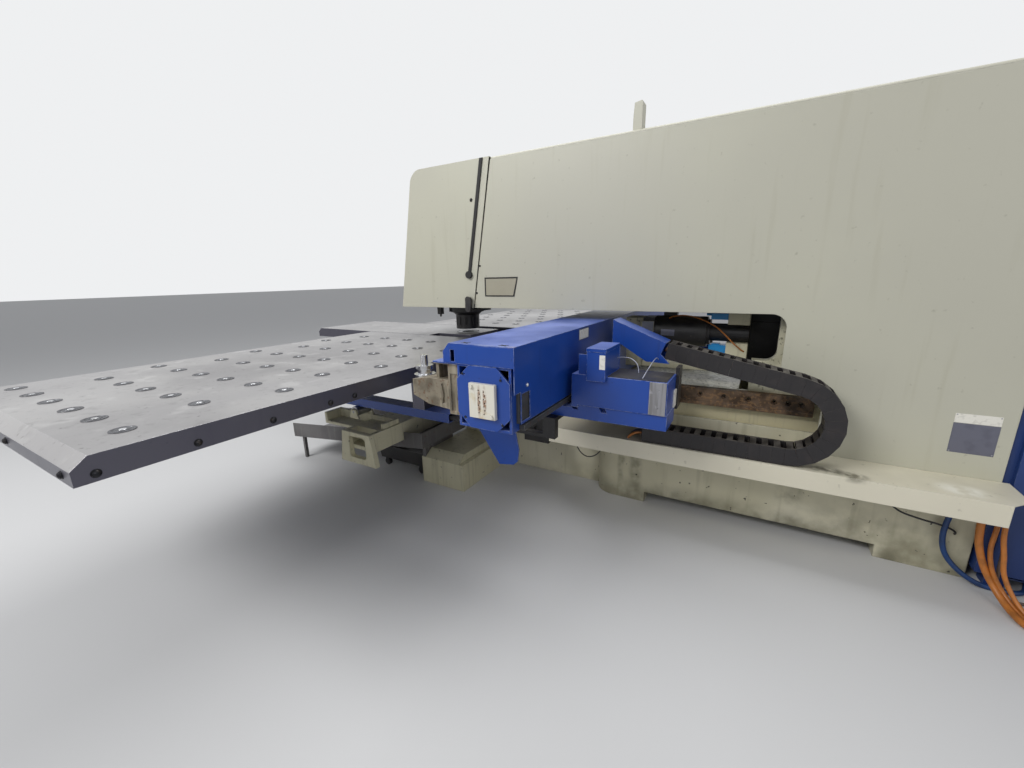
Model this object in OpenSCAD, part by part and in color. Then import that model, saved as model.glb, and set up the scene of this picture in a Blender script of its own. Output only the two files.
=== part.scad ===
// CNC punch press with a C-frame, a moving side-table carriage and a cross beam.
// X runs along the frame to the rear, Y across the machine and Z up, with the floor at Z = 0.
// Lengths along X are measured from the punch axis, which at_punch() puts in its place.

/* [Frame] */
// Height of the top of the covers
cover_top_z = 1920; // [1800:10:2100]
// Half the width over the side covers
cover_half_w = 350; // [330:5:420]
// Thickness of the cover sheets
sheet_t = 3; // [2:0.5:5]
// Half the width over the two plates of the C-frame
frame_half_w = 250; // [200:5:280]
// Thickness of each plate of the C-frame
plate_t = 60; // [40:5:80]
// Height of the underside of the upper arm's covers
arm_under_z = 1080; // [1070:5:1140]
// Height of the top of the lower arm
lower_arm_z = 690; // [640:5:696]
// Distance from the punch axis to the end of the throat
throat_end = 1970; // [1950:10:2000]
// Distance from the punch axis to the rear end of the side covers
cover_rear = 2730; // [2600:10:2900]
// Length of the rear cabinet
cabinet_l = 750; // [500:10:900]

/* [Tables] */
// Height of the table tops
table_z = 880; // [860:5:900]
// Height of the edge of a table
table_edge_h = 68; // [50:1:80]
// Distance from the punch axis to the front edge of the centre table
centre_table_front = 1340; // [1320:10:1500]
// Distance from the frame's middle plane to the outer end of a side table
table_outer_y = 2300; // [2000:10:2500]
// Distance from the punch axis to the front edge of a side table
table_front = 740; // [650:10:760]
// Distance from the punch axis to the rear edge of a side table
table_rear = 550; // [450:10:560]
// Drop of the bevel at the rim of a side table
bevel_drop = 29; // [15:1:40]
// Width of the bevel at the rim of a side table
bevel_w = 36; // [20:1:60]
// Diameter of a ball insert in the table
insert_d = 62; // [40:1:80]

/* [Cross beam] */
// Half the length of the cross beam
beam_half_l = 1330; // [1250:10:1400]
// Distance from the punch axis to the front face of the beam tube
beam_x = 905; // [900:1:912]
// Width of the beam tube
beam_w = 233; // [215:1:235]
// Height of the underside of the beam tube
beam_z = 712; // [708:1:716]
// Height of the beam tube
beam_h = 243; // [220:1:244]
// Height of the top of the beam cover
beam_cover_z = 1030; // [1000:1:1040]
// Wall thickness of the beam tube
beam_wall = 10; // [6:1:16]

/* [Carriage] */
// Distance from the punch axis to the front face of the carriage's cross plate
cross_plate_x = 1188; // [1186:1:1192]
// Thickness of the carriage's cross plate
cross_plate_t = 28; // [20:1:30]
// Distance from the punch axis to the rear end of a carriage wing
wing_rear = 1585; // [1560:5:1620]
// Height of the top of a carriage wing
wing_top_z = 853; // [840:1:860]
// Height of the underside of a carriage wing
wing_under_z = 650; // [640:1:660]
// Distance from the frame's middle plane to the outer face of a carriage wing
wing_outer_y = 890; // [850:5:920]

/* [Energy chain] */
// Pitch of the chain links
link_pitch = 45.5; // [40:0.5:50]
// Height of a chain link
link_h = 75; // [60:1:80]
// Width of a chain link
link_w = 104; // [80:1:110]
// Radius of the chain's bend at the middle of the links
bend_r = 155; // [140:1:170]
// Links in the lower run
lower_links = 13; // [8:1:16]
// Links in the upper run
upper_links = 12; // [8:1:14]
// Links round the bend
bend_links = 10; // [8:1:12]

/* [Head] */
// Diameter of the flange of the upper tool holder
holder_flange_d = 240; // [200:2:260]
// Diameter of the body of the upper tool holder
holder_d = 170; // [140:2:180]
// Diameter of the ram
ram_d = 80; // [60:1:100]
// Diameter of the ring that turns the die
die_ring_d = 150; // [120:1:170]

/* [Hidden] */

$fn = 48;
eps = 0.02;
seat = 0.2;
run = 0.05;

cabinet_rear = cover_rear + cabinet_l;
punch_x = (centre_table_front - cabinet_rear) / 2;

// Places that several sub-parts share
centre_half_w = frame_half_w + 40;
side_table_inner_y = centre_half_w + 10;
table_under_z = table_z - table_edge_h;
centre_wide_end = -130;
die_table_half_w = 178;
die_table_rear = 150;
step_x = throat_end - 120;
throat_lip_z = arm_under_z - 227;
slot_rear = wing_rear + 555;
slot_top_z = throat_lip_z - 68;
frame_rear = cover_rear - 130;
base_rear = cover_rear - 10;
frame_front = -150;
base_front = 1100;
base_half_w = cover_half_w - 50;
rail_h = 66;
rail_t = 40;
rail_top_z = lower_arm_z + 10;
rail_front = 380;
rail_rear = wing_rear + 535;
rail_outer_y = frame_half_w + rail_t;
shelf_top_z = 465;
shelf_depth = 220;
shelf_front_y = -(cover_half_w + shelf_depth);
shelf_left = 930;
shelf_lip = 85;
seam_top = 460;
seam_bottom = 313;
hood_front_top = -133;
hood_front_bottom = -294;
hood_top_r = 90;
foot_front = 100;
foot_rear = 420;
foot_half_w = 695;
chain_y = -(cover_half_w + 155 + link_w / 2 - 52);
bend_x = 2015;
bend_z = shelf_top_z + seat + link_h / 2 + bend_r;
anchor_x = 1500;
anchor_z = 924;
hood_hinge = [seam_top - 12, cover_top_z - 10];
hood_gap = 6;
roof_r = 14;
door_axis = [cabinet_rear - 8, -cover_half_w - 6];
screw_z = 580;
skirt_top_z = 545;
screw_y = frame_half_w + 26;
roller_r = 30;
tube_h = 55;
tube_w = 88;
tube_z = 539;
tube_y = -945;
tube_front = -735;
tube_rear = 540;
clamp_y = 450;
clamp_pivot = [700, table_z + 55];
station_ys = [-(beam_half_l - 80), beam_half_l - 80];
station_x = 680;
latch_x = 283;
wing_inner_y = wing_outer_y - 180;
housing_rear = wing_rear - 52;
motor_y = -90;
motor_z = 960;
motor_end = 1632;
tail_end = 1826;
tail_d = 92;
yoke_x = 1728;
ram_guide_top = 1500;
head_under_z = arm_under_z + 15;

// Puts what is measured from the punch axis in its place along X
module at_punch() {
  translate([punch_x, 0, 0]) children();
}

// Box from its lowest to its highest corner
module span(a, b) {
  translate(a) cube(b - a);
}

// Shape in the X-Z plane, made solid from y0 to y1
module slab_xz(y0, y1) {
  translate([0, y1, 0]) rotate([90, 0, 0]) linear_extrude(y1 - y0) children();
}

// Shape in the Y-Z plane, made solid from x0 to x1
module slab_yz(x0, x1) {
  translate([x0, 0, 0]) rotate([90, 0, 90]) linear_extrude(x1 - x0) children();
}

// The children and their mirror image across the frame's middle plane
module both_sides() {
  children();
  mirror([0, 1, 0]) children();
}

// Rectangle with round corners
module round_rect(a, b, r) {
  translate([a[0] + r, a[1]]) square([b[0] - a[0] - 2 * r, b[1] - a[1]]);
  translate([a[0], a[1] + r]) square([b[0] - a[0], b[1] - a[1] - 2 * r]);
  for (x = [a[0] + r, b[0] - r], y = [a[1] + r, b[1] - r]) translate([x, y]) circle(r);
}

// Upright tube or disc on the Z axis
module disc(d, z0, z1) {
  translate([0, 0, z0]) cylinder(d = d, h = z1 - z0);
}

// Cylinder along Y from y0 to y1 at a place in the X-Z plane
module rod_y(x, z, d, y0, y1) {
  translate([x, y0, z]) rotate([-90, 0, 0]) cylinder(d = d, h = y1 - y0);
}

// Cylinder along X from x0 to x1 at a place in the Y-Z plane
module rod_x(y, z, d, x0, x1) {
  translate([x0, y, z]) rotate([0, 90, 0]) cylinder(d = d, h = x1 - x0);
}

// The C-frame: two plates with the throat between the arms, joined by webs
module c_frame_profile() {
  difference() {
    polygon([
      [frame_front, 450], [base_front - 60, 450], [base_front + 40, 380], [frame_rear, 380],
      [frame_rear, cover_top_z - 90], [150, cover_top_z - 90], [frame_front + 60, cover_top_z - 240],
      [frame_front, cover_top_z - 420]
    ]);
    translate([frame_front - 200, lower_arm_z])
      square([step_x - frame_front + 200, head_under_z - lower_arm_z]);
    round_rect([step_x - 200, throat_lip_z], [throat_end - 20, head_under_z], 45);
  }
}

module c_frame() {
  color("#c9c8b4") at_punch() {
    both_sides() slab_xz(frame_half_w - plate_t, frame_half_w) c_frame_profile();
    inner = frame_half_w - plate_t + eps;
    span([seam_top, -inner, cover_top_z - 130], [frame_rear, inner, cover_top_z - 90]);
    span([frame_rear - 60, -inner, 380], [frame_rear, inner, cover_top_z - 90]);
    span([380, -inner, head_under_z], [step_x - 260, inner, head_under_z + 40]);
    span([frame_front, -inner, 450], [base_front - 60, inner, 490]);
    span([frame_front, -inner, 490 - eps], [frame_front + 40, inner, lower_arm_z]);
    span([380, -inner, lower_arm_z - 40], [step_x - 40, inner, lower_arm_z]);
    span([120, -inner, 490 - eps], [160, inner, lower_arm_z]);
  }
}

// Cast base under the rear of the frame, with its front edge rounded where it shows
module base_casting() {
  edge_r = 120;
  half_w = base_half_w;
  color("#cfcdb6") at_punch() difference() {
    union() {
      span([base_front + edge_r, -half_w, 0], [base_rear, half_w, 380 - seat]);
      span([base_front, -half_w + edge_r, 0], [base_rear, half_w - edge_r, 380 - seat]);
      for (s = [-1, 1]) translate([base_front + edge_r, s * (half_w - edge_r), 0])
        cylinder(r = edge_r, h = 380 - seat);
    }
    span([base_front + 300, -half_w - 1, -1], [base_rear - 300, half_w + 1, 60]);
  }
  color("#cfcdb6") at_punch() {
    both_sides() span([base_front + edge_r, -half_w, 379], [base_rear, -half_w + 10, skirt_top_z]);
    span([foot_rear + seat, -180, 0], [base_front + eps, 180, 370]);
  }
}

// Front foot across the machine under the lower arm
module foot_beam() {
  color("#cfcdb6") at_punch() {
    span([foot_front, -foot_half_w, 0], [foot_rear, foot_half_w, 170]);
    slab_yz(foot_front + 30, foot_rear - 30)
      polygon([[-foot_half_w, 170 - eps], [foot_half_w, 170 - eps], [foot_half_w - 60, 215],
        [frame_half_w, 215], [frame_half_w, 450 - seat], [-frame_half_w, 450 - seat],
        [-frame_half_w, 215], [-foot_half_w + 60, 215]]);
  }
}

// Head block that guides the ram
module head_casting() {
  half = frame_half_w - plate_t - seat;
  color("#8f9188") at_punch() difference() {
    union() {
      span([frame_front + 10, -half, head_under_z], [330, half, ram_guide_top]);
      disc(holder_flange_d + 40, head_under_z - 22, head_under_z + eps);
    }
    disc(ram_d + 2 * run, 0, ram_guide_top + 1);
    disc(holder_flange_d + 2, 0, head_under_z - 4);
  }
}

// Hydraulic cylinder that drives the ram, on the head block
module hydraulic_cylinder() {
  base_z = ram_guide_top + seat;
  color("#3a3d40") at_punch() difference() {
    union() {
      span([-110, -110, base_z], [110, 110, base_z + 35]);
      disc(170, base_z, cover_top_z - 250);
      span([-70, -95, cover_top_z - 250 - eps], [150, 95, cover_top_z - 170]);
    }
    disc(ram_d + 6, 0, base_z + 90);
  }
}

// Side sheet of the covers, with the throat, the carriage slot and the window in the near one
module side_cover_profile(with_window) {
  r = 60;
  difference() {
    polygon([
      [seam_bottom, arm_under_z], [throat_end, arm_under_z], [throat_end, throat_lip_z - 11],
      [slot_rear, slot_top_z], [slot_rear, shelf_top_z + seat], [cover_rear, shelf_top_z + seat],
      [cover_rear, cover_top_z - roof_r], [seam_top - 2, cover_top_z - roof_r]
    ]);
    if (with_window) window_opening(0);
  }
  difference() {
    translate([throat_end - r, arm_under_z - r]) square([r + eps, r + eps]);
    translate([throat_end - r, arm_under_z - r]) circle(r);
  }
}

// Window opening, grown by a margin; its right side slants like the seam
module window_opening(grow) {
  polygon([[395 - grow, 1150 - grow], [600 + grow, 1150 - grow], [625 + grow, 1262 + grow],
    [395 - grow, 1262 + grow]]);
}

// One folded side cover between y0 and y1
module side_cover(with_window) {
  y = -cover_half_w;
  slab_xz(y, y + sheet_t) side_cover_profile(with_window);
  span([slot_rear, y, shelf_top_z + seat], [slot_rear + sheet_t, y + 22, slot_top_z]);
  span([cover_rear - sheet_t, y, shelf_top_z + seat], [cover_rear, y + 40, cover_top_z - 60]);
}

module near_cover() {
  color("#d6d5bf") at_punch() side_cover(true);
}

module far_cover() {
  color("#d6d5bf") at_punch() mirror([0, 1, 0]) side_cover(false);
}

// Roof sheet with rounded edges along both sides and folded lips inside the side covers
module top_cover() {
  w = cover_half_w;
  t = sheet_t;
  color("#dddcc8") at_punch() {
    slab_yz(seam_top + 2, cover_rear) difference() {
      intersection() {
        round_rect([-w, cover_top_z - 100], [w, cover_top_z], roof_r);
        translate([-w, cover_top_z - roof_r]) square([2 * w, roof_r]);
      }
      round_rect([-w + t, cover_top_z - 100], [w - t, cover_top_z - t], roof_r - t);
    }
    both_sides() span([seam_top + 2, -w + t, cover_top_z - 36], [cover_rear - 45, -w + 2 * t,
      cover_top_z - roof_r + 4]);
    roof_post();
  }
}

// Small folded post on the roof
module roof_post() {
  translate([1250, -cover_half_w + 20, cover_top_z - eps]) difference() {
    slab_xz(0, 60) polygon([[0, 0], [42, 0], [42, 118], [38, 124], [4, 118], [0, 60]]);
    slab_xz(3, 61) polygon([[3, -1], [39, -1], [39, 118], [5, 112]]);
  }
}

// Spacer bars between the frame's plates and the side covers
module cover_standoffs() {
  color("#77786f") at_punch() both_sides()
    for (x = [700, 1150, 1700, 2300, 2560], z = [1180, 1780])
      rod_y(x, z, 40, -cover_half_w + sheet_t, -frame_half_w);
  color("#77786f") at_punch() both_sides() difference() {
    union() {
      rod_y(hood_hinge[0], hood_hinge[1], 16, 210, 240);
      span([hood_hinge[0] - 8, 210, cover_top_z - 90], [hood_hinge[0] + 8, 240, hood_hinge[1]]);
    }
    rod_y(hood_hinge[0], hood_hinge[1], 8 + 2 * run, 200, 250);
  }
}

// Rubber frame of the inspection window, clipped over the edge of the opening
module window_gasket() {
  color("#141414") at_punch() slab_xz(-cover_half_w - 3, -cover_half_w + sheet_t + 3) difference() {
    window_opening(-eps);
    window_opening(-7);
  }
}

module window_pane() {
  color("#a9a898") at_punch() slab_xz(-cover_half_w - 1, -cover_half_w + 3) window_opening(-7);
}

// Rear cabinet with side, floor and roof panels, open on the near side for its door
module rear_cabinet() {
  t = 4;
  front = cover_rear + seat;
  half = cover_half_w - 15;
  top = cover_top_z - 30;
  color("#2b4c92") at_punch() {
    difference() {
      span([front, -half, 60], [cabinet_rear, half, top]);
      span([front + t, -half - 1, 60 + t], [cabinet_rear - t, half - t, top - t]);
      for (z = [1500:60:1740]) span([cabinet_rear - t - 1, -180, z], [cabinet_rear + 1, 180, z + 18]);
    }
    for (x = [front + 40, cabinet_rear - 100], y = [-half + 20, half - 80])
      span([x, y, 0], [x + 60, y + 60, 60 + eps]);
    for (z = [290, 391, 1590, 1691]) difference() {
      union() {
        translate([door_axis[0], door_axis[1], z - 1]) cylinder(d = 16, h = 9);
        span([door_axis[0], door_axis[1], z - 1], [cabinet_rear, -half + eps, z + 8]);
      }
      translate([door_axis[0], door_axis[1], z - 2]) cylinder(d = 6, h = 12);
    }
    span([front + t - eps, -half, 60 + t - eps], [front + 34, -half + t, top - t + eps]);
    span([cabinet_rear - 34, -half, 60 + t - eps], [cabinet_rear - t + eps, -half + t, top - t + eps]);
  }
}

// Door on the near side of the rear cabinet, with folded edges, hinge barrels and a turning handle
module cabinet_door() {
  y = -cover_half_w + 15 - seat;
  x0 = cover_rear + 30;
  x1 = cabinet_rear - 22;
  z0 = 80;
  z1 = cover_top_z - 50;
  color("#2d5099") at_punch() {
    difference() {
      span([x0, y - 20, z0], [x1, y, z1]);
      span([x0 + 2, y - 18, z0 + 2], [x1 - 2, y + 1, z1 - 2]);
    }
    for (z = [300, 1600]) {
      translate([door_axis[0], door_axis[1], z]) cylinder(d = 16, h = 90);
      span([x1 - 20, door_axis[1] - 6, z + 2], [door_axis[0], door_axis[1] + 1, z + 88]);
    }
    translate([x0 + 60, y - 38, 950]) round_bar(140);
  }
}

// Upright grip with two feet
module round_bar(h) {
  cylinder(d = 16, h = h);
  for (z = [8, h - 24]) translate([-7, 0, z]) cube([14, 20, 16]);
}

// Guide rail bar along the frame with counterbored screw holes
module guide_rail() {
  z0 = rail_top_z - rail_h;
  difference() {
    union() {
      span([rail_front, -rail_outer_y, z0], [rail_rear, -frame_half_w, rail_top_z]);
      span([rail_front, -rail_outer_y - 8, z0 - 20], [rail_rear, -frame_half_w, z0 + eps]);
    }
    for (x = concat([for (x = [rail_rear - 156:-107:rail_front + 30]) x], [rail_rear - 100,
      rail_rear - 49])) {
      rod_y(x, z0 + rail_h / 2, 14, -rail_outer_y - 1, -frame_half_w + 1);
      rod_y(x, z0 + rail_h / 2, 26, -rail_outer_y - 1, -rail_outer_y + 12);
    }
  }
}

module guide_rails() {
  color("#7a6049") at_punch() both_sides() guide_rail();
}

// Black sheet over the far side of the throat's rear end, with a folded rib
module throat_liner() {
  y = frame_half_w - plate_t - seat;
  color("#161617") at_punch() {
    span([throat_end - 165, y - 4, throat_lip_z - 83], [throat_end + 20, y, head_under_z + 15]);
    span([throat_end - 165, y - 16, throat_lip_z + 137], [throat_end + 20, y - 4 + eps, throat_lip_z + 140]);
  }
}

// Ball screw that moves the carriage along X
module y_screw() {
  color("#9a9a9a") at_punch() {
    rod_x(screw_y, screw_z, 32, rail_front + 60, rail_rear - 60);
    rod_x(screw_y, screw_z, 20, rail_front + 20, rail_rear - 20);
  }
}

// Bearing housings at both ends of the screw, on the frame's plate
module screw_bearings() {
  color("#55585a") at_punch() for (x = [rail_front + 22, rail_rear - 58]) difference() {
    span([x, frame_half_w, screw_z - 28], [x + 36, screw_y + 22, screw_z + 28]);
    rod_x(screw_y, screw_z, 20 + 2 * run, x - 1, x + 37);
  }
}

// Shelf that carries the energy chain: a folded sheet with a deep front lip
module chain_shelf() {
  t = 3;
  rear = cover_rear + 20;
  inner_y = -base_half_w - seat;
  color("#dcdbc9") at_punch() {
    linear_extrude_at(shelf_top_z - t, t) polygon([
      [shelf_left, shelf_front_y], [rear - 60, shelf_front_y], [rear, shelf_front_y + 60],
      [rear, -cover_half_w - seat], [cover_rear - 1, -cover_half_w - seat], [cover_rear - 1, inner_y],
      [shelf_left, inner_y]]);
    span([shelf_left, shelf_front_y, shelf_top_z - shelf_lip], [rear - 60, shelf_front_y + t,
      shelf_top_z - t + eps]);
    span([shelf_left, shelf_front_y + 30, shelf_top_z - shelf_lip], [shelf_left + t, inner_y,
      shelf_top_z - t + eps]);
    for (x = [1230, 1540, 1850, 2160])
      slab_yz(x, x + 6) polygon([[inner_y, shelf_top_z - t + eps], [inner_y - 160, shelf_top_z - t + eps],
        [inner_y, shelf_top_z - t - 70]]);
  }
}

module linear_extrude_at(z, h) {
  translate([0, 0, z]) linear_extrude(h) children();
}

// One link of the energy chain, centred on its middle, along X
module chain_link() {
  l = link_pitch - 0.3;
  side = 12;
  difference() {
    translate([-l / 2, -link_w / 2, -link_h / 2]) cube([l, link_w, link_h]);
    translate([-l, -link_w / 2 + side, -link_h / 2 + 8]) cube([2 * l, link_w - 2 * side, link_h - 16]);
    for (s = [-1, 1]) translate([l / 2 - 16, -link_w / 2 + side, s * link_h / 2 - 9])
      cube([l, link_w - 2 * side, 18]);
    for (s = [-1, 1]) translate([-l, -link_w / 2 + side, s * link_h / 2 - 9])
      cube([l / 2 + 5, link_w - 2 * side, 18]);
  }
}

// Direction of the upper run, from its anchor towards the bend
run_dx = bend_x - anchor_x;
run_dz = bend_z - anchor_z;
run_dist = sqrt(run_dx * run_dx + run_dz * run_dz);
run_angle = atan2(run_dz, run_dx) + asin(bend_r / run_dist);
run_len = sqrt(run_dist * run_dist - bend_r * bend_r);
bend_span = 180 + run_angle;

module chain_lower_run() {
  color("#1d1d1f") at_punch() for (i = [0:lower_links - 1])
    translate([bend_x - (i + 0.5) * link_pitch, chain_y, bend_z - bend_r]) chain_link();
}

module chain_bend() {
  color("#1d1d1f") at_punch() for (i = [0:bend_links - 1]) {
    a = (i + 0.5) * bend_span / bend_links;
    translate([bend_x + bend_r * sin(a), chain_y, bend_z - bend_r * cos(a)]) rotate([0, -a, 0]) bend_link();
  }
}

// A link in the bend, narrowed towards the inside so that neighbours clear each other
module bend_link() {
  arc = bend_span / bend_links * PI / 180;
  inner = arc * (bend_r - link_h / 2) / 2 - 0.3;
  outer = arc * (bend_r + link_h / 2) / 2 - 0.3;
  side = 12;
  difference() {
    slab_xz(-link_w / 2, link_w / 2)
      polygon([[-outer, 2.4 - link_h / 2], [outer, 2.4 - link_h / 2], [inner, link_h / 2], [-inner,
        link_h / 2]]);
    translate([-100, -link_w / 2 + side, -link_h / 2 + 8]) cube([200, link_w - 2 * side, link_h - 16]);
    for (s = [-1, 1], e = [-1, 1]) translate([e * 32 - 20, -link_w / 2 + side, s * link_h / 2 - 9])
      cube([40, link_w - 2 * side, 18]);
  }
}

module chain_upper_run() {
  start = run_len - upper_links * link_pitch;
  color("#1d1d1f") at_punch() translate([anchor_x, chain_y, anchor_z]) rotate([0, -run_angle, 0])
    for (i = [0:upper_links - 1]) translate([start + (i + 0.5) * link_pitch, 0, 0]) chain_link();
}

// Narrow fixed table in line with the frame, with bevelled front and the opening for the die
module centre_table() {
  front = -centre_table_front;
  color("#b9bbbd") at_punch() difference() {
    union() {
      slab_yz(front + bevel_w, centre_wide_end)
        translate([-centre_half_w, table_under_z]) square([2 * centre_half_w, table_edge_h]);
      span([centre_wide_end - eps, -die_table_half_w, table_under_z], [die_table_rear, die_table_half_w,
        table_z]);
      slab_xz(-centre_half_w, centre_half_w) polygon([
        [front, table_under_z], [front + bevel_w + eps, table_under_z], [front + bevel_w + eps, table_z],
        [front + bevel_w, table_z], [front, table_z - bevel_drop]]);
    }
    disc(die_ring_d + 12, 0, table_z + 1);
    span([front + 30, -centre_half_w + 8, 0], [centre_wide_end - 8, centre_half_w - 8, table_z - 14]);
    span([centre_wide_end - 9, -die_table_half_w + 8, 0], [die_table_rear - 8, die_table_half_w - 8,
      table_z - 14]);
  }
}

// Cast pedestal on the lower arm that carries the die ring and the centre table
module die_holder() {
  top = table_z - 14;
  color("#3c3f42") at_punch() difference() {
    union() {
      disc(200, lower_arm_z, top - 30);
      span([-145, -170, lower_arm_z], [142, 170, lower_arm_z + 40]);
      for (y = [-170, 140]) span([-145, y, lower_arm_z + 40 - eps], [142, y + 30, top]);
      span([-1200, -170, table_under_z - 20], [-144, -140, top]);
      span([-1200, 140, table_under_z - 20], [-144, 170, top]);
      slab_xz(-170, -140) polygon([[-1000, table_under_z - 19], [-144, lower_arm_z + 5], [-144,
        table_under_z - 19]]);
      slab_xz(140, 170) polygon([[-1000, table_under_z - 19], [-144, lower_arm_z + 5], [-144,
        table_under_z - 19]]);
    }
    disc(die_ring_d + 2 * run, lower_arm_z + 60, top + 1);
    disc(80, 0, lower_arm_z + 61);
  }
}

// Toothed ring that turns the die, with the die in it
module die_ring() {
  color("#6c6f72") at_punch() difference() {
    disc(die_ring_d, lower_arm_z + 60 + seat, table_z - 1);
    disc(44, 0, table_z + 1);
    disc(90, table_z - 8, table_z + 1);
  }
}

module outriggers() {
  at_punch() both_sides() outrigger();
}

// Height of the roller's axle below the tube
roller_z = tube_z - roller_r - seat;
roller_x = -150;

// Cast arm under a side table, with a channel for the tube and a pocketed end block
module outrigger() {
  color("#cfcdb6") {
    difference() {
      union() {
        span([-120, -1060, 330], [100, -frame_half_w + plate_t, 440]);
        span([-120, -frame_half_w, 440 - eps], [100, -frame_half_w + plate_t, 450 - seat]);
      }
      span([-96, -1080, 352], [76, -1000, 441]);
      span([-96, -960, 320], [76, -frame_half_w - 60, 418]);
    }
    slab_xz(-1090, -1060 + eps) difference() {
      polygon([[-150, 255], [130, 255], [100, 440], [-120, 440]]);
      round_rect([-70, 290], [60, 415], 20);
    }
    difference() {
      span([-420, -975, 400], [90, -855, 470]);
      span([-400, -985, 418], [70, -875, 471]);
    }
    for (y = [-975, -865]) difference() {
      slab_xz(y, y + 10) polygon([[roller_x - 40, 469], [roller_x + 40, 469], [roller_x + 18, roller_z + 14],
        [roller_x - 18, roller_z + 14]]);
      rod_y(roller_x, roller_z, 16 + 2 * run, y - 1, y + 11);
    }
  }
}

// Roller on its axle that carries the tube of a side table
module roller() {
  rod_y(roller_x, roller_z, 2 * roller_r, -964, -866);
  rod_y(roller_x, roller_z, 16, -975, -855);
}

module near_roller() {
  color("#8d8f91") at_punch() roller();
}

module far_roller() {
  color("#8d8f91") at_punch() mirror([0, 1, 0]) roller();
}

// Inclined sheet-metal chute for small parts, open at the top
module scrap_chute() {
  x0 = -1000;
  x1 = 246;
  t = 3;
  y0 = -840;
  y1 = -420;
  color("#6d6f6c") at_punch() {
    difference() {
      slab_xz(y0, y1) polygon([[x0, 160], [x1, 300], [x1, 395], [x0, 262]]);
      slab_xz(y0 + t, y1 - t) polygon([[x0 - 5, 160 + t], [x1 - t, 300 + t], [x1 - t, 400], [x0 - 5, 300]]);
      span([-125, y0 - 1, 325], [105, y1 + 1, 500]);
    }
    span([foot_front + 5, y0 + 150, 170 + seat], [foot_front + 28, -foot_half_w + 66, 292]);
    span([foot_front + 5, -foot_half_w + 65, 215 + seat], [foot_front + 40, y1 - 5, 292]);
    for (y = [y0 + 20, y1 - 40]) span([x0 + 60, y, 0], [x0 + 80, y + 20, 172]);
  }
}

// Slug bin on small castors under the die
module slug_bin() {
  t = 3;
  color("#202224") at_punch() {
    difference() {
      slab_xz(-640, -330) polygon([[-330, 60], [60, 60], [80, 150], [-350, 150]]);
      slab_xz(-640 + t, -330 - t) polygon([[-326, 60 + t], [56, 60 + t], [77, 151], [-347, 151]]);
    }
    for (x = [-290, 20], y = [-615, -365]) {
      rod_y(x, 25, 50, y - 10, y + 10);
      span([x - 14, y - 14, 25], [x + 14, y - 10.5, 60 + eps]);
      span([x - 14, y + 10.5, 25], [x + 14, y + 14, 60 + eps]);
      rod_y(x, 25, 8, y - 14, y + 14);
    }
  }
}

// Black socket box under the lower arm
module socket_box() {
  color("#1c1c1e") at_punch() difference() {
    span([700, -430, 300], [860, -frame_half_w + plate_t, 450 - seat]);
    rod_y(790, 380, 46, -431, -415);
  }
}

// Air nozzle under the front of the head
module air_nozzle() {
  front = frame_front + 10 - seat;
  color("#1b2440") at_punch() {
    span([front - 6, -62, head_under_z + 1], [front, -28, head_under_z + 50]);
    span([-232, -62, head_under_z + 1], [front, -28, head_under_z + 9]);
    span([-232, -62, head_under_z - 92], [-198, -28, head_under_z + 1 + eps]);
    translate([-215, -45, 0]) disc(14, head_under_z - 110, head_under_z - 91);
  }
}

// Bracket of the hood's latch, from the head out under the cover
module latch_bracket() {
  color("#1a1a1c") at_punch() {
    span([latch_x - 22, -366, 1054], [latch_x + 22, -152, 1064]);
    span([latch_x - 22, -162, 1054], [latch_x + 22, -152, head_under_z - seat]);
    rod_y(latch_x, 1075, 14, -386, -366 + eps);
    span([latch_x - 15, -366, 1054], [latch_x + 15, -358, 1085]);
  }
}

module latch_lever() {
  color("#1a1a1c") at_punch() difference() {
    slab_xz(-384, -368) {
      translate([latch_x, 1075]) circle(20);
      polygon([[latch_x - 19, 1078], [latch_x + 19, 1078], [latch_x + 24, 1120], [latch_x + 20, 1144],
        [latch_x - 8, 1150], [latch_x - 18, 1140]]);
    }
    rod_y(latch_x, 1075, 14 + 2 * run, -390, -360);
  }
}

// Hood over the head: side sheets with a rounded upper front corner, a front and a roof
module hood_profile() {
  top = cover_top_z + 2;
  bottom = arm_under_z - 2;
  difference() {
    polygon([[hood_front_bottom, bottom], [seam_bottom - hood_gap, bottom], [seam_top - hood_gap, top],
      [hood_front_top, top]]);
    difference() {
      translate([hood_front_top - 60, top - hood_top_r]) square([hood_top_r + 60, hood_top_r + 1]);
      translate([hood_front_top + hood_top_r - 16, top - hood_top_r]) circle(hood_top_r);
      translate([hood_front_top + hood_top_r - 16, top - hood_top_r - 1]) square([hood_top_r,
        hood_top_r + 3]);
    }
  }
}

module head_hood() {
  outer = cover_half_w + 5;
  color("#dbdac8") at_punch() {
    both_sides() {
      rod_y(hood_hinge[0], hood_hinge[1], 8, 205, 262);
      span([hood_hinge[0] - 6, 248, hood_hinge[1]], [hood_hinge[0] + 4, 262, cover_top_z]);
    }
    hood_shell(outer);
  }
}

module hood_shell(outer) {
  difference() {
    slab_xz(-outer, outer) hood_profile();
    slab_xz(-outer + sheet_t, outer - sheet_t) {
      translate([0, -3]) polygon([[hood_front_bottom + sheet_t + 4, arm_under_z - 4], [seam_bottom + 40,
        arm_under_z - 4],
        [seam_top + 60, cover_top_z + 2], [hood_front_top + hood_top_r - 14, cover_top_z + 2],
        [hood_front_top + 20, cover_top_z - 45], [hood_front_top + 6, cover_top_z - hood_top_r]]);
    }
  }
}

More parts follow.
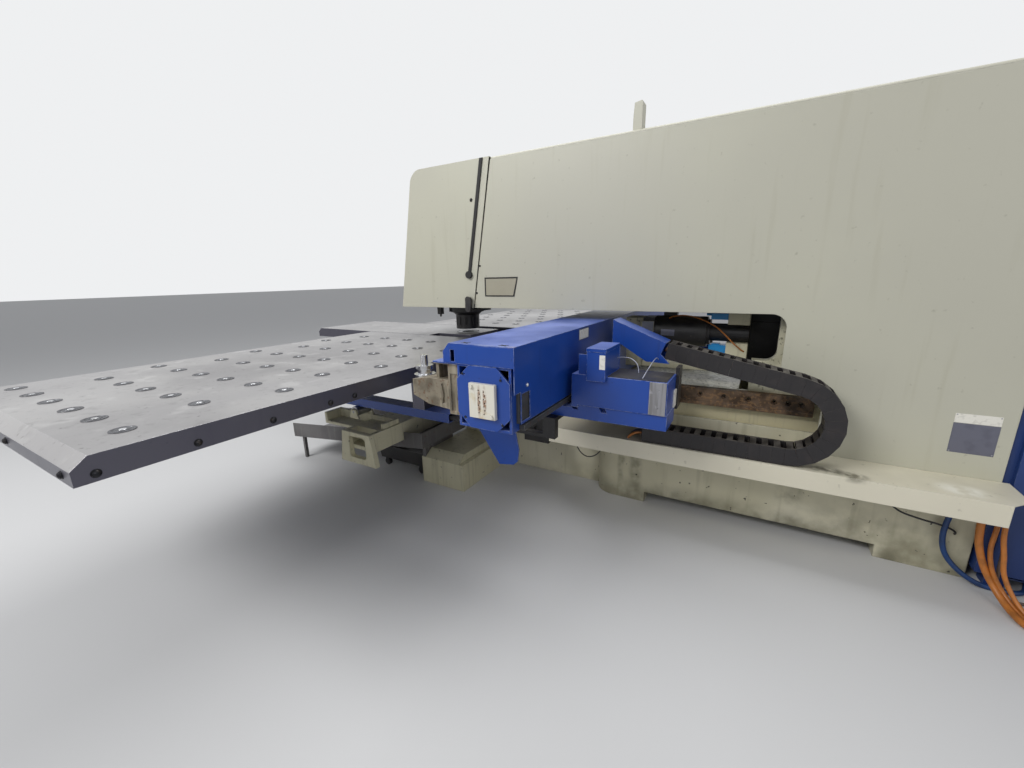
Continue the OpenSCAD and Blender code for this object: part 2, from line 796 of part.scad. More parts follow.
// Black sealing strips along the seam, each with its pivot knob
module hood_strips() {
  outer = cover_half_w + 5;
  slope = (seam_top - seam_bottom) / (cover_top_z - arm_under_z);
  color("#161616") at_punch() both_sides() {
    slab_xz(-outer - 7, -outer) polygon([
      [seam_bottom + slope * 200 - 70, arm_under_z + 200], [seam_bottom + slope * 200 - 50,
        arm_under_z + 200],
      [seam_top - 48, cover_top_z], [seam_top - 68, cover_top_z]]);
    rod_y(seam_bottom + slope * 200 - 60, arm_under_z + 200, 44, -outer - 16, -outer);
  }
}

module ram() {
  color("#b4b7ba") at_punch() {
    disc(ram_d, head_under_z + 40, ram_guide_top + 60);
    disc(ram_d - 16, head_under_z + 37, head_under_z + 40 + eps);
  }
}

// Upper tool holder that turns the punch, with the tool in its lower end
module upper_tool_holder() {
  top = head_under_z - 4 - seat;
  color("#18181a") at_punch() difference() {
    union() {
      disc(holder_flange_d, top - 66, top);
      translate([0, 0, top - 88]) cylinder(d1 = holder_d, d2 = holder_flange_d - 20, h = 22 + eps);
      disc(holder_d, 905, top - 88 + eps);
      for (a = [45:90:315]) rotate([0, 0, a]) span([100, -14, top - 64], [132, 14, top - 36]);
    }
    difference() {
      disc(116, 904, 909);
      disc(100, 903, 910);
    }
    disc(28, 904, 907);
    for (a = [0:30:330]) rotate([0, 0, a]) translate([holder_d / 2, 0, 930]) cylinder(d = 14, h = 60);
  }
}

// Saddle: a cross plate behind the beam and a hollow wing on each side of the frame
module carriage_saddle() {
  t = 12;
  fold_z = wing_under_z + 66;
  front = cross_plate_x + cross_plate_t;
  color("#1f4fae") at_punch() {
    span([cross_plate_x, -wing_outer_y, 706], [front, wing_outer_y, wing_top_z]);
    both_sides() {
      difference() {
        span([front - eps, -wing_outer_y, fold_z], [wing_rear, -wing_inner_y, wing_top_z]);
        span([front, -wing_outer_y + t, fold_z - 1], [wing_rear - t, -wing_inner_y - t, wing_top_z - t]);
      }
      difference() {
        slab_xz(-wing_outer_y + 8, -wing_inner_y - 8) polygon([[cross_plate_x - 128, wing_under_z + 2],
          [wing_rear + 3, wing_under_z + 2], [wing_rear + 3, fold_z + eps], [cross_plate_x, fold_z + eps],
          [cross_plate_x, wing_under_z + 50], [cross_plate_x - 128, wing_under_z + 50]]);
        for (x = [cross_plate_x - 8, cross_plate_x + 121])
          slab_xz(-wing_outer_y + 7, -wing_outer_y + 34) polygon([[x, fold_z - 2], [x + 28, fold_z - 2],
            [x + 36, fold_z - 24], [x + 12, fold_z - 24]]);
      }
    }
  }
}

// Dark housings between the wings and the frame, which run on the guide rails
module guide_housings() {
  x0 = cross_plate_x + cross_plate_t;
  near = rail_outer_y + 0.3;
  top = 752;
  color("#2b2b2d") at_punch() {
    both_sides() {
      difference() {
        span([x0, -wing_inner_y + eps, 640], [housing_rear, -near, top]);
        span([x0 + 12, -wing_inner_y + 14, 639], [housing_rear - 14, -near - 14, top - 12]);
      }
      span([x0, -near - 10, rail_top_z + seat], [housing_rear - 20, -frame_half_w - 5, rail_top_z + 22]);
      span([wing_rear - 240, -wing_outer_y + 5, wing_top_z], [wing_rear - 6, -wing_inner_y, wing_top_z + 3]);
      span([wing_rear - 3, -wing_inner_y + eps, 700], [wing_rear + 13, -wing_inner_y + 70, 880]);
    }
    difference() {
      union() {
        span([cross_plate_x + 200, screw_y - 20, screw_z - 28], [cross_plate_x + 260, rail_outer_y + 60,
          screw_z + 31]);
        span([cross_plate_x + 200, rail_outer_y + 10, screw_z - 28], [cross_plate_x + 260,
          rail_outer_y + 60, 640 + eps]);
      }
      rod_x(screw_y, screw_z, 32 + 2 * run, cross_plate_x + 199, cross_plate_x + 261);
    }
  }
}

// Brushed wear plates on the outer faces of the wings
module wear_plates() {
  color("#b5b2aa") at_punch() both_sides() difference() {
    span([wing_rear - 68, -wing_outer_y - 4, wing_under_z + 68], [wing_rear - 4, -wing_outer_y,
      wing_top_z - 2]);
    for (z = [wing_top_z - 32, wing_under_z + 96]) rod_y(wing_rear - 32, z, 8, -wing_outer_y - 5,
      -wing_outer_y - 1);
  }
}

// Junction box with its bracket, on the near wing
module carriage_box() {
  y0 = -wing_outer_y - 16;
  y1 = -wing_outer_y + 174;
  color("#2153b0") at_punch() {
    span([1260, y0, wing_top_z], [1340, y1, 968]);
    span([1258, y0 - 2, 956], [1342, y1 + 2, 971]);
    span([1260, y0, wing_top_z - 20], [1340, -wing_outer_y - seat, wing_top_z + eps]);
    span([cross_plate_x + cross_plate_t, y0 + 22, wing_top_z], [1261, y0 + 28, 940]);
  }
}

// Sloping sheet box that carries the upper end of the energy chain
module chain_bracket() {
  y0 = chain_y - link_w / 2 - 6;
  y1 = chain_y + link_w / 2 + 6;
  t = 5;
  x = anchor_x;
  z = anchor_z;
  color("#2456b8") at_punch() difference() {
    union() {
      slab_xz(y0, y1) polygon([[x - 238, z + 132], [x + 9, z + 33], [x - 11, z - 18], [x + 30, z - 61],
        [x - 75, z - 58], [x - 198, z + 17], [x - 238, z + 17]]);
      span([x - 238, y0, wing_top_z - 101], [x - 200, y1, z + 18]);
      span([cross_plate_x + cross_plate_t, y0, wing_top_z - 101], [x - 237, y1, wing_top_z - 60]);
    }
    slab_xz(y0 + t, y1 - t) polygon([[x - 232, z + 123], [x + 7, z + 27], [x + 60, z - 10], [x + 50, z - 80],
      [x - 75, z - 72], [x - 196, z + 8], [x - 232, z + 8]]);
  }
}

// Side table: a folded steel top with bevelled rim, and stiffeners under it
module side_table() {
  x0 = -table_front;
  x1 = table_rear;
  y0 = -table_outer_y;
  y1 = -side_table_inner_y;
  b = bevel_w;
  zb = table_z - bevel_drop;
  difference() {
    union() {
      span([x0 + b, y0 + b, zb - eps], [x1, y1, table_z]);
      slab_xz(y0 + b, y1) polygon([[x0, zb], [x0 + b + eps, zb], [x0 + b + eps, table_z], [x0 + b, table_z]]);
      slab_yz(x0 + b, x1) polygon([[y0, zb], [y0 + b + eps, zb], [y0 + b + eps, table_z], [y0 + b, table_z]]);
      bevel_corner(x0, y0, b, zb);
      span([x0, y0, table_under_z], [x1, y1, zb]);
    }
    span([x0 + 5, y0 + 5, table_under_z - 1], [x1 - 5, y1 - 5, zb - 5]);
    span([x0 + b + 5, y0 + b + 5, zb - 6], [x1 - 5, y1 - 5, table_z - 5]);
  }
  for (x = [x0 + 250, -100, x1 - 250]) span([x, y0 + b + 5 - eps, table_under_z + 4], [x + 40, y1 - 5 + eps,
    table_z - 5 + eps]);
  for (x = [-600, 300]) span([x, tube_y, tube_z + tube_h - 6], [x + 80, tube_y + tube_w, table_z - 5 + eps]);
}

// Mitred corner of the bevel
module bevel_corner(x0, y0, b, zb) {
  polyhedron(
    points = [[x0, y0, zb], [x0 + b, y0, zb], [x0 + b, y0 + b, zb], [x0, y0 + b, zb], [x0 + b, y0 + b,
      table_z]],
    faces = [[0, 1, 2, 3], [0, 4, 1], [1, 4, 2], [2, 4, 3], [3, 4, 0]]);
}

module side_tables() {
  color("#b3b5b7") at_punch() both_sides() side_table();
}

// Ball inserts in a staggered pattern over the side tables
insert_pitch_x = 200;
insert_pitch_y = 230;
module table_inserts() {
  color("#4c4e50") at_punch() both_sides()
    for (i = [0:5], j = [0:7]) {
      x = -table_front + 140 + i * insert_pitch_x + (j % 2) * insert_pitch_x / 2;
      y = -table_outer_y + 150 + j * insert_pitch_y;
      if (x < table_rear - 60) translate([x, y, 0]) {
        disc(insert_d, table_z, table_z + 1.5);
        disc(insert_d - 26, table_z + 1.5 - eps, table_z + 4);
      }
    }
}

// Round-head bolts on the rim of the side tables
module table_bolts() {
  zc = table_under_z + 20;
  color("#2a2a2c") at_punch() both_sides() {
    for (y = [43, 257, 471, 684, 791])
      translate([table_rear, y - table_outer_y, zc]) rotate([0, 90, 0]) cylinder(d1 = 20, d2 = 12, h = 9);
    for (x = [65, 529, 993])
      translate([table_rear - x, -table_outer_y, zc]) rotate([90, 0, 0]) cylinder(d1 = 20, d2 = 12, h = 9);
  }
}

// Rectangular tubes that carry the side tables, each with a folded drag plate behind it
module table_tubes() {
  w = 4;
  y1 = tube_y + tube_w;
  plate_x = cross_plate_x - 346;
  color("#2351ad") at_punch() both_sides() {
    difference() {
      span([tube_front, tube_y, tube_z], [tube_rear, y1, tube_z + tube_h - 6 - seat]);
      span([tube_front - 1, tube_y + w, tube_z + w], [tube_rear + 1, y1 - w, tube_z + tube_h - 10 - seat]);
    }
    slab_xz(tube_y + w, tube_y + w + 6) polygon([[plate_x - 127, tube_z + 14], [plate_x + 6, tube_z + 14],
      [plate_x + 6, tube_z - 161], [plate_x - 4, tube_z - 163]]);
    slab_xz(tube_y + w, tube_y + w + 6) polygon([[plate_x + 5, tube_z + 14], [plate_x + 91, tube_z + 14],
      [plate_x + 106, tube_z - 68], [plate_x + 98, tube_z - 130], [plate_x + 76, tube_z - 150],
      [plate_x + 5, tube_z - 161]]);
    span([plate_x, tube_y + w, tube_z - 158], [plate_x + 6, tube_y + 60, tube_z + 14]);
  }
}

// Dark bars that draw the tubes, with a hanger up to each wing
module drag_bars() {
  color("#1d1d1f") at_punch() both_sides() {
    span([tube_rear - 60, tube_y + 14, tube_z + 14 + seat], [cross_plate_x - 60, tube_y + 50, tube_z + 30]);
    span([cross_plate_x - 120, tube_y + 14, tube_z + 30 - eps], [cross_plate_x - 60, tube_y + 50,
      wing_under_z + 2 - seat]);
    span([cross_plate_x - 120, tube_y + 14, wing_under_z - 14], [cross_plate_x - 60, -wing_outer_y + 60,
      wing_under_z + 2 - seat]);
  }
}

// Servo motor behind the cross plate that drives the beam
module x_motor() {
  color("#161618") at_punch() {
    rod_x(motor_y, motor_z, 160, 1369, motor_end);
    span([1310, motor_y - 72, motor_z - 72], [1370, motor_y + 72, motor_z + 72]);
    rod_x(motor_y, motor_z, tail_d, motor_end - eps, tail_end);
    rod_x(motor_y, motor_z, 132, motor_end - eps, motor_end + 14);
    span([1400, motor_y + 20, motor_z + 66], [1470, motor_y + 66, motor_z + 96]);
  }
}

// Gear case, base plate and yoke that hold the motor on the cross plate
module motor_mount() {
  z0 = throat_lip_z - 93;
  color("#c8c5b0") at_punch() {
    difference() {
      span([cross_plate_x + cross_plate_t, -160, z0], [1310 - seat, -20, 1030]);
      rod_x(motor_y, motor_z, 40, cross_plate_x + 40, 1311);
    }
    span([1300, -150, z0], [tail_end, -30, z0 + 30]);
    difference() {
      span([yoke_x, motor_y - 60, z0 + 29], [tail_end, motor_y + 100, motor_z + 106]);
      span([yoke_x - 1, motor_y - 61, motor_z - 46.3], [tail_end + 1, motor_y, motor_z + 46.3]);
      rod_x(motor_y, motor_z, tail_d + 0.6, yoke_x - 1, tail_end + 1);
    }
    span([1300, -178, motor_z - 2], [1309, -159, motor_z + 54]);
    span([1308, -178, motor_z - 2], [1370, -172, motor_z + 54]);
  }
}

// Bright-blue valves above and below the motor's tail, on the yoke
module air_valves() {
  x0 = motor_end + 16;
  color("#1d86c4") at_punch() {
    span([x0, motor_y - 60, motor_z - 112], [yoke_x - seat, motor_y + 10, motor_z - 60]);
    span([x0 + 12, motor_y - 54, motor_z - 61], [yoke_x - 30, motor_y, motor_z - 54]);
    span([x0, motor_y - 52, motor_z + 70], [yoke_x - seat, motor_y + 10, motor_z + 102]);
    rod_x(motor_y - 26, motor_z + 94, 14, x0 - 24, x0 + 1);
  }
}

// Guide blocks on the carriage for the rail of the beam
beam_rail_x = beam_x + beam_w;
module beam_guide_blocks() {
  color("#6b6e70") at_punch() both_sides() for (y = [-820, -480]) difference() {
    span([beam_rail_x + 4, y, beam_z - 4], [cross_plate_x, y + 110, beam_z + 27]);
    span([beam_rail_x - 1, y - 1, beam_z + 1.7], [beam_rail_x + 22.3, y + 111, beam_z + 22.3]);
  }
}

// Square tube of the cross beam
module beam_tube() {
  color("#1d49a4") at_punch() difference() {
    span([beam_x, -beam_half_l + 8, beam_z], [beam_x + beam_w, beam_half_l - 8, beam_z + beam_h]);
    span([beam_x + beam_wall, -beam_half_l, beam_z + beam_wall],
      [beam_x + beam_w - beam_wall, beam_half_l, beam_z + beam_h - beam_wall]);
  }
}

// Folded cover over the beam, with a chamfered front edge and a long rear side
module beam_cover() {
  z_in = beam_z + beam_h;
  t = 3;
  x0 = beam_x - 58;
  x1 = beam_x + beam_w + 17;
  end = beam_half_l;
  color("#2a5cc0") at_punch() {
    difference() {
      union() {
        slab_xz(-end, end) polygon([
          [x0, z_in], [x0, beam_cover_z - 32], [x0 + 29, beam_cover_z], [x1, beam_cover_z], [x1, beam_z + 29],
          [x1 - t, beam_z + 29], [x1 - t, z_in]]);
        both_sides() span([x0 - 58, -end + 6, z_in - 6], [beam_x - seat, -end + 126, z_in + eps]);
      }
      slab_xz(-end + 4, end - 4) polygon([
        [x0 + t, z_in + t], [x0 + t, beam_cover_z - 33], [x0 + 30, beam_cover_z - t], [x1 - t,
          beam_cover_z - t],
        [x1 - t, beam_z + 20], [beam_x + beam_w + 8, beam_z + 20], [beam_x + beam_w + 8, z_in + t]]);
      both_sides() {
        span([x0 + 35, -end - 1, z_in + 7], [x0 + 53, -end + 5, z_in + 50]);
        span([x1 - t - 1, -end - 1, beam_z + 20], [x1 + 1, -end + 46, beam_z + 150]);
        span([x1 - t - 1, -end + 51, beam_z + 38], [x1 + 1, -end + 114, beam_z + 142]);
      }
      for (x = [beam_x + 32, beam_x + 195]) for (s = [-1, 1]) translate([x, s * (end - 25),
        beam_cover_z - 5]) {
        translate([-12, -2, 0]) cube([24, 4, 10]);
        translate([-2, -12, 0]) cube([4, 24, 10]);
      }
    }
  }
}

// Octagonal end plates of the beam
module beam_end_plates() {
  c = 55;
  x0 = beam_x + 2;
  x1 = beam_x + beam_w - 2;
  z0 = beam_z + 2;
  z1 = beam_z + beam_h - 2;
  color("#2c60c4") at_punch() both_sides() difference() {
    slab_xz(-beam_half_l, -beam_half_l + 8) polygon([
      [x0 + c, z0], [x1 - c, z0], [x1, z0 + c], [x1, z1 - c], [x1 - c, z1], [x0 + c, z1], [x0, z1 - c],
        [x0, z0 + c]]);
    for (x = [x0 + 36, x1 - 36], z = [z0 + 34, z1 - 34]) rod_y(x, z, 5, -beam_half_l - 1, -beam_half_l + 9);
  }
}

// Oil distributor plate on the near end plate
module oil_plate() {
  x0 = beam_x + 66;
  z0 = beam_z + 50;
  color("#d8d6c6") at_punch() {
    difference() {
      span([x0, -beam_half_l - 16, z0], [x0 + 110, -beam_half_l, z0 + 130]);
      for (i = [0:6]) rod_y(x0 + 42 + (i % 2) * 4, z0 + 22 + i * 14, 6, -beam_half_l - 17, -beam_half_l - 8);
      for (i = [0:6]) rod_y(x0 + 64 + (i % 2) * 4, z0 + 18 + i * 14, 6, -beam_half_l - 17, -beam_half_l - 8);
    }
    for (p = [[12, 118], [96, 12]]) translate([x0 + p[0], -beam_half_l - 16 + eps, z0 + p[1]])
      rotate([90, 0, 0]) cylinder(d = 16, h = 8, $fn = 6);
  }
}

// Guide rail along the lower rear edge of the beam, with a stop block at each end
module beam_rail() {
  x = beam_rail_x;
  color("#a3a6a8") at_punch() {
    span([x, -beam_half_l + 60, beam_z + 2], [x + 22, beam_half_l - 60, beam_z + 22]);
    both_sides() span([x, -beam_half_l + 40, beam_z + 32], [x + 12, -beam_half_l + 120, beam_z + 152]);
  }
}

// Station castings on the front of the beam: an upright, a jaw and a cover flange
module tool_stations() {
  top = beam_z + beam_h - 6 - seat;
  z = table_z;
  color("#a59f8c") at_punch() for (y = station_ys) translate([0, y, 0]) {
    difference() {
      span([beam_x - 55, -60, z - 135], [beam_x, 60, top]);
      span([beam_x - 46, -61, z - 122], [beam_x - 9, -54, z + 28]);
    }
    difference() {
      slab_xz(-55, 55) polygon([[station_x - 20, z - 80], [station_x + 60, z - 110], [beam_x - 54, z - 120],
        [beam_x - 54, z], [station_x + 60, z], [station_x - 20, z - 14]]);
      translate([station_x, 0, 0]) disc(88.6, z - 180, z + 20);
      slab_xz(-56, -48) polygon([[beam_x - 96, z - 100], [beam_x - 80, z - 96], [beam_x - 70, z - 60],
        [beam_x - 84, z - 16], [beam_x - 98, z - 20], [beam_x - 88, z - 60]]);
    }
    span([station_x + 90, -48, top - 10], [beam_x - 50, 48, top]);
    span([station_x + 96, -40, z - 10], [station_x + 110, 40, top - 9]);
  }
  color("#a59f8c") at_punch() for (y = [-clamp_y, clamp_y]) translate([0, y, 0]) {
    span([beam_x - 55, -60, z - 120], [beam_x, 60, z + 70]);
    slab_xz(-50, 50) polygon([[600, z + 1.7], [640, z + 1.7], [beam_x - 54, z - 20], [beam_x - 54, z - 80],
      [700, z - 70]]);
    for (s = [-1, 1]) difference() {
      slab_xz(s * 42 - 8, s * 42 + 8) polygon([[clamp_pivot[0] - 20, z - 14], [clamp_pivot[0] + 140, z - 16],
        [clamp_pivot[0] + 140, z + 20], [clamp_pivot[0] + 22, clamp_pivot[1] + 18],
        [clamp_pivot[0] - 20, clamp_pivot[1] + 18]]);
      rod_y(clamp_pivot[0], clamp_pivot[1], 20 + 2 * run, -60, 60);
    }
  }
}

// Punch, stripper and die held one above the other in each station
module tool_cassettes() {
  color("#c6c8ca") at_punch() for (y = station_ys) translate([station_x, y, 0]) {
    z = table_z;
    disc(88, z - 80, z - 54);
    disc(76, z - 54 - eps, z - 34);
    disc(88, z - 34 - eps, z);
    disc(60, z - eps, z + 20);
    disc(72, z + 20 - eps, z + 36);
    disc(30, z + 36 - eps, z + 78);
  }
}

// Upper jaw of a sheet clamp on its pin
module clamp_jaw() {
  x = clamp_pivot[0];
  z = clamp_pivot[1];
  slab_xz(-33, 33) polygon([[x - 100, z - 53], [x - 70, z - 53], [x - 40, z - 35], [x + 16, z - 20],
    [x + 30, z],
    [x + 10, z + 22], [x - 20, z + 20], [x - 100, z - 35]]);
  rod_y(clamp_pivot[0], clamp_pivot[1], 20, -50, 50);
}

module near_clamp_jaw() {
  color("#8b8d8f") at_punch() translate([0, -clamp_y, 0]) clamp_jaw();
}

module far_clamp_jaw() {
  color("#8b8d8f") at_punch() translate([0, clamp_y, 0]) clamp_jaw();
}

c_frame();
base_casting();
foot_beam();
head_casting();
hydraulic_cylinder();
near_cover();
far_cover();
top_cover();
cover_standoffs();
window_gasket();
window_pane();
rear_cabinet();
cabinet_door();
guide_rails();
throat_liner();
y_screw();
screw_bearings();
chain_shelf();
chain_lower_run();
centre_table();
die_holder();
die_ring();
outriggers();
near_roller();
far_roller();
scrap_chute();
slug_bin();
socket_box();
air_nozzle();
latch_bracket();
latch_lever();
head_hood();
hood_strips();
ram();
upper_tool_holder();
carriage_saddle();
wear_plates();
carriage_box();
chain_bracket();
chain_upper_run();
guide_housings();
side_tables();
table_inserts();
table_bolts();
table_tubes();
drag_bars();
x_motor();
motor_mount();
air_valves();
beam_guide_blocks();
chain_bend();
beam_tube();
beam_cover();
beam_end_plates();
oil_plate();
beam_rail();
tool_stations();
tool_cassettes();
near_clamp_jaw();
far_clamp_jaw();
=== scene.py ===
"""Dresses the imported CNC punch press: finishes, fasteners, cables, stage, lights and camera."""

import math

import bmesh
import bpy
from mathutils import Matrix, Vector


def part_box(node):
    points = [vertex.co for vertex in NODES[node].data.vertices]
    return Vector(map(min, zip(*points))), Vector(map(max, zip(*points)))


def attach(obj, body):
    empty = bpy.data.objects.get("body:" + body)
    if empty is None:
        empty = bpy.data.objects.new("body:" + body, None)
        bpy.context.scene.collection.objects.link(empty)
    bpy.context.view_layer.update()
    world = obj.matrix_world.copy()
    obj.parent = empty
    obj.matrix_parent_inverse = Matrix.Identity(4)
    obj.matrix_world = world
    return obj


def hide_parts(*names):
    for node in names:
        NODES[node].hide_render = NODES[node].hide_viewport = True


bl_info = {
    "name": "Punch press dressing",
    "version": (1, 0, 0),
    "blender": (4, 5, 0),
    "location": "3D View > Sidebar > Punch press",
    "description": "Gives the punch press its finishes, fasteners and cables, and sets a plain stage",
    "category": "Object",
}

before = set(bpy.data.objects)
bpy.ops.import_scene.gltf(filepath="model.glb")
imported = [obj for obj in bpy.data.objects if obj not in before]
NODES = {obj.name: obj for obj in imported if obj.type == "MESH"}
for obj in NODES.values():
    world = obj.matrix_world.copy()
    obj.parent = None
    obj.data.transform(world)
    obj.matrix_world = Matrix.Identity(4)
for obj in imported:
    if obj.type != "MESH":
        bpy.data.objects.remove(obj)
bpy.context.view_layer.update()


def middle(node):
    """Middle of a CAD node's box at rest."""
    low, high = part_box(node)
    return (Vector(low) + Vector(high)) / 2


PUNCH_X = middle("ram").x


def at(x, y, z):
    """A point in the row frame, from millimetres with X measured from the punch axis."""
    return Vector((PUNCH_X + x / 1000, y / 1000, z / 1000))


# Places in millimetres

COVER_FACE = -350  # outside of the near cover
PLATE_THICK = 0.8
SHELF = 461.9  # underside of the chain shelf
INLET = 60.2  # where cables enter the cabinet's floor
BOX_TOP = 856.1  # top of the carriage box
BEAM_REAR = 1155  # rear face of the beam
COVER_TOP = 1030.3  # just above the beam's cover
MOTOR_Y, MOTOR_Z, MOTOR_RADIUS = -90, 960, 80

TO_REAR, TO_NEAR, TO_FAR, UP = Vector((1, 0, 0)), Vector((0, -1, 0)), Vector((0, 1, 0)), Vector((0, 0, 1))


# Colours


def srgb(code):
    """Linear colour of a hex code."""
    parts = [int(code[i : i + 2], 16) / 255 for i in (0, 2, 4)]
    return tuple(c / 12.92 if c <= 0.04045 else ((c + 0.055) / 1.055) ** 2.4 for c in parts)


class PressColours(bpy.types.PropertyGroup):
    """Colours of the machine's main finishes"""

    cover: bpy.props.FloatVectorProperty(
        name="Cover paint", description="Paint of the sheet covers", subtype="COLOR", default=srgb("bab8a9")
    )
    casting: bpy.props.FloatVectorProperty(
        name="Casting paint",
        description="Paint of the castings near the floor",
        subtype="COLOR",
        default=srgb("ccc7ab"),
    )
    blue: bpy.props.FloatVectorProperty(
        name="Carriage paint",
        description="Paint of the carriage and the beam",
        subtype="COLOR",
        default=srgb("0d4199"),
    )
    cabinet: bpy.props.FloatVectorProperty(
        name="Cabinet paint", description="Paint of the rear cabinet", subtype="COLOR", default=srgb("1f3a74")
    )
    steel: bpy.props.FloatVectorProperty(
        name="Table steel", description="Bare steel of the tables", subtype="COLOR", default=srgb("a3a1a1")
    )


class PressSizes(bpy.types.PropertyGroup):
    """Sizes of the small pieces"""

    bolt_head: bpy.props.FloatProperty(
        name="Bolt head", description="Diameter of the bolts on the table rims", unit="LENGTH", default=0.022
    )
    insert: bpy.props.FloatProperty(
        name="Ball insert", description="Diameter of the inserts in the tables", unit="LENGTH", default=0.062
    )


# Node helpers


def add(tree, kind, values=None, **settings):
    """A node with its settings, and with values or links put into its inputs."""
    n = tree.nodes.new(kind)
    for key, value in settings.items():
        setattr(n, key, value)
    for key, value in (values or {}).items():
        if isinstance(value, bpy.types.NodeSocket):
            tree.links.new(value, n.inputs[key])
        else:
            n.inputs[key].default_value = value
    return n


FLOAT, VECTOR = "NodeSocketFloat", "NodeSocketVector"


def new_group(name, normal=False, **inputs):
    """An empty shader group from a vector and inputs to a mask, with its own input and output sockets."""
    tree = bpy.data.node_groups.new(name, "ShaderNodeTree")
    tree.interface.new_socket(name="Vector", in_out="INPUT", socket_type=VECTOR)
    for label, value in inputs.items():
        kind = VECTOR if isinstance(value, tuple) else FLOAT
        tree.interface.new_socket(name=label, in_out="INPUT", socket_type=kind).default_value = value
    tree.interface.new_socket(name="Mask", in_out="OUTPUT", socket_type=FLOAT)
    if normal:
        tree.interface.new_socket(name="Normal", in_out="OUTPUT", socket_type=VECTOR)
    return tree, tree.nodes.new("NodeGroupInput").outputs, tree.nodes.new("NodeGroupOutput").inputs


def noise(tree, vector, scale, detail):
    """The grey of a noise."""
    values = {"Vector": vector, "Scale": scale, "Detail": detail}
    return add(tree, "ShaderNodeTexNoise", values).outputs["Fac"]


def ramp(tree, value, low, high, soft=False):
    """A mask that goes from 0 at the low level to 1 at the high one."""
    levels = {"Value": value, "From Min": low, "From Max": high}
    kind = "SMOOTHSTEP" if soft else "LINEAR"
    return add(tree, "ShaderNodeMapRange", levels, interpolation_type=kind).outputs["Result"]


def times(tree, value, factor):
    """Two masks multiplied, or one made weaker or stronger."""
    return add(tree, "ShaderNodeMath", {0: value, 1: factor}, operation="MULTIPLY", use_clamp=True).outputs[0]


def patches_group():
    """Soft patches: a noise cut between two levels."""
    tree, i, o = new_group("Patches", Scale=3.0, Low=0.45, High=0.7)
    grey = noise(tree, i["Vector"], i["Scale"], 5.0)
    tree.links.new(ramp(tree, grey, i["Low"], i["High"], soft=True), o["Mask"])
    return tree


def drips_group():
    """Streaks that run down, narrow across and long in Z."""
    tree, i, o = new_group("Drips", Scale=30.0, Low=0.5, High=0.75)
    long_in_z = (1.0, 1.0, 0.07)
    squeeze = add(tree, "ShaderNodeVectorMath", {0: i["Vector"], 1: long_in_z}, operation="MULTIPLY")
    grey = noise(tree, squeeze.outputs[0], i["Scale"], 3.0)
    tree.links.new(ramp(tree, grey, i["Low"], i["High"], soft=True), o["Mask"])
    return tree


def edges_group():
    """Rounded edges for the shading, and a mask of the worn ones."""
    tree, i, o = new_group("Worn edges", normal=True, Radius=0.003, Scale=30.0, Low=0.4)
    bevel = add(tree, "ShaderNodeBevel", {"Radius": i["Radius"]}, samples=4)
    flat = add(tree, "ShaderNodeNewGeometry")
    normals = {0: bevel.outputs["Normal"], 1: flat.outputs["True Normal"]}
    dot = add(tree, "ShaderNodeVectorMath", normals, operation="DOT_PRODUCT")
    flat_level, bent_level = 0.985, 0.85
    away = ramp(tree, dot.outputs["Value"], flat_level, bent_level)
    grey = noise(tree, i["Vector"], i["Scale"], 4.0)
    high = add(tree, "ShaderNodeMath", {0: i["Low"], 1: 0.15}, operation="ADD").outputs[0]
    tree.links.new(times(tree, away, ramp(tree, grey, i["Low"], high)), o["Mask"])
    tree.links.new(bevel.outputs["Normal"], o["Normal"])
    return tree


def top_dust_and_sheen_group():
    """Dust on what faces up; on the blue paint it is also a painted reflection of the bright sky."""
    tree, i, o = new_group("Dust and sheen on top", Scale=6.0, Amount=0.5)
    flat = add(tree, "ShaderNodeNewGeometry")
    split = add(tree, "ShaderNodeSeparateXYZ", {"Vector": flat.outputs["Normal"]})
    steep, level = 0.6, 0.95
    up = ramp(tree, split.outputs["Z"], steep, level)
    grey = noise(tree, i["Vector"], i["Scale"], 6.0)
    lying = times(tree, up, ramp(tree, grey, 0.35, 0.7))
    tree.links.new(times(tree, lying, i["Amount"]), o["Mask"])
    return tree


def sides_group():
    """Faces that stand upright or look down."""
    tree, i, o = new_group("Upright sides", Low=0.3, High=0.6)
    flat = add(tree, "ShaderNodeNewGeometry")
    split = add(tree, "ShaderNodeSeparateXYZ", {"Vector": flat.outputs["True Normal"]})
    tree.links.new(ramp(tree, split.outputs["Z"], i["High"], i["Low"], soft=True), o["Mask"])
    return tree


def spot_group():
    """A stain round one place, broken up by a noise; on the frame plate the same patch is a painted light."""
    tree, i, o = new_group(
        "Spot", Centre=(0.0, 0.0, 0.0), Size=(0.1, 0.1, 0.1), Scale=20.0, Low=0.3, High=0.6
    )
    ends = {0: i["Vector"], 1: i["Centre"]}
    away = add(tree, "ShaderNodeVectorMath", ends, operation="SUBTRACT").outputs[0]
    scaled = add(tree, "ShaderNodeVectorMath", {0: away, 1: i["Size"]}, operation="DIVIDE").outputs[0]
    reach = add(tree, "ShaderNodeVectorMath", {0: scaled}, operation="LENGTH").outputs["Value"]
    edge, core = 1.0, 0.3
    fade = ramp(tree, reach, edge, core, soft=True)
    grey = noise(tree, i["Vector"], i["Scale"], 5.0)
    broken = ramp(tree, grey, i["Low"], i["High"], soft=True)
    tree.links.new(times(tree, fade, broken), o["Mask"])
    return tree


GROUPS = {}
MAKERS = {
    "patches": patches_group,
    "drips": drips_group,
    "edges": edges_group,
    "dust_and_sheen": top_dust_and_sheen_group,
    "sides": sides_group,
    "spot": spot_group,
}


def group(tree, name, **values):
    """Places one of the shared groups in a material, with its own values."""
    if name not in GROUPS:
        GROUPS[name] = MAKERS[name]()
    inputs = {key.capitalize(): value for key, value in values.items()}
    return add(tree, "ShaderNodeGroup", inputs, node_tree=GROUPS[name])


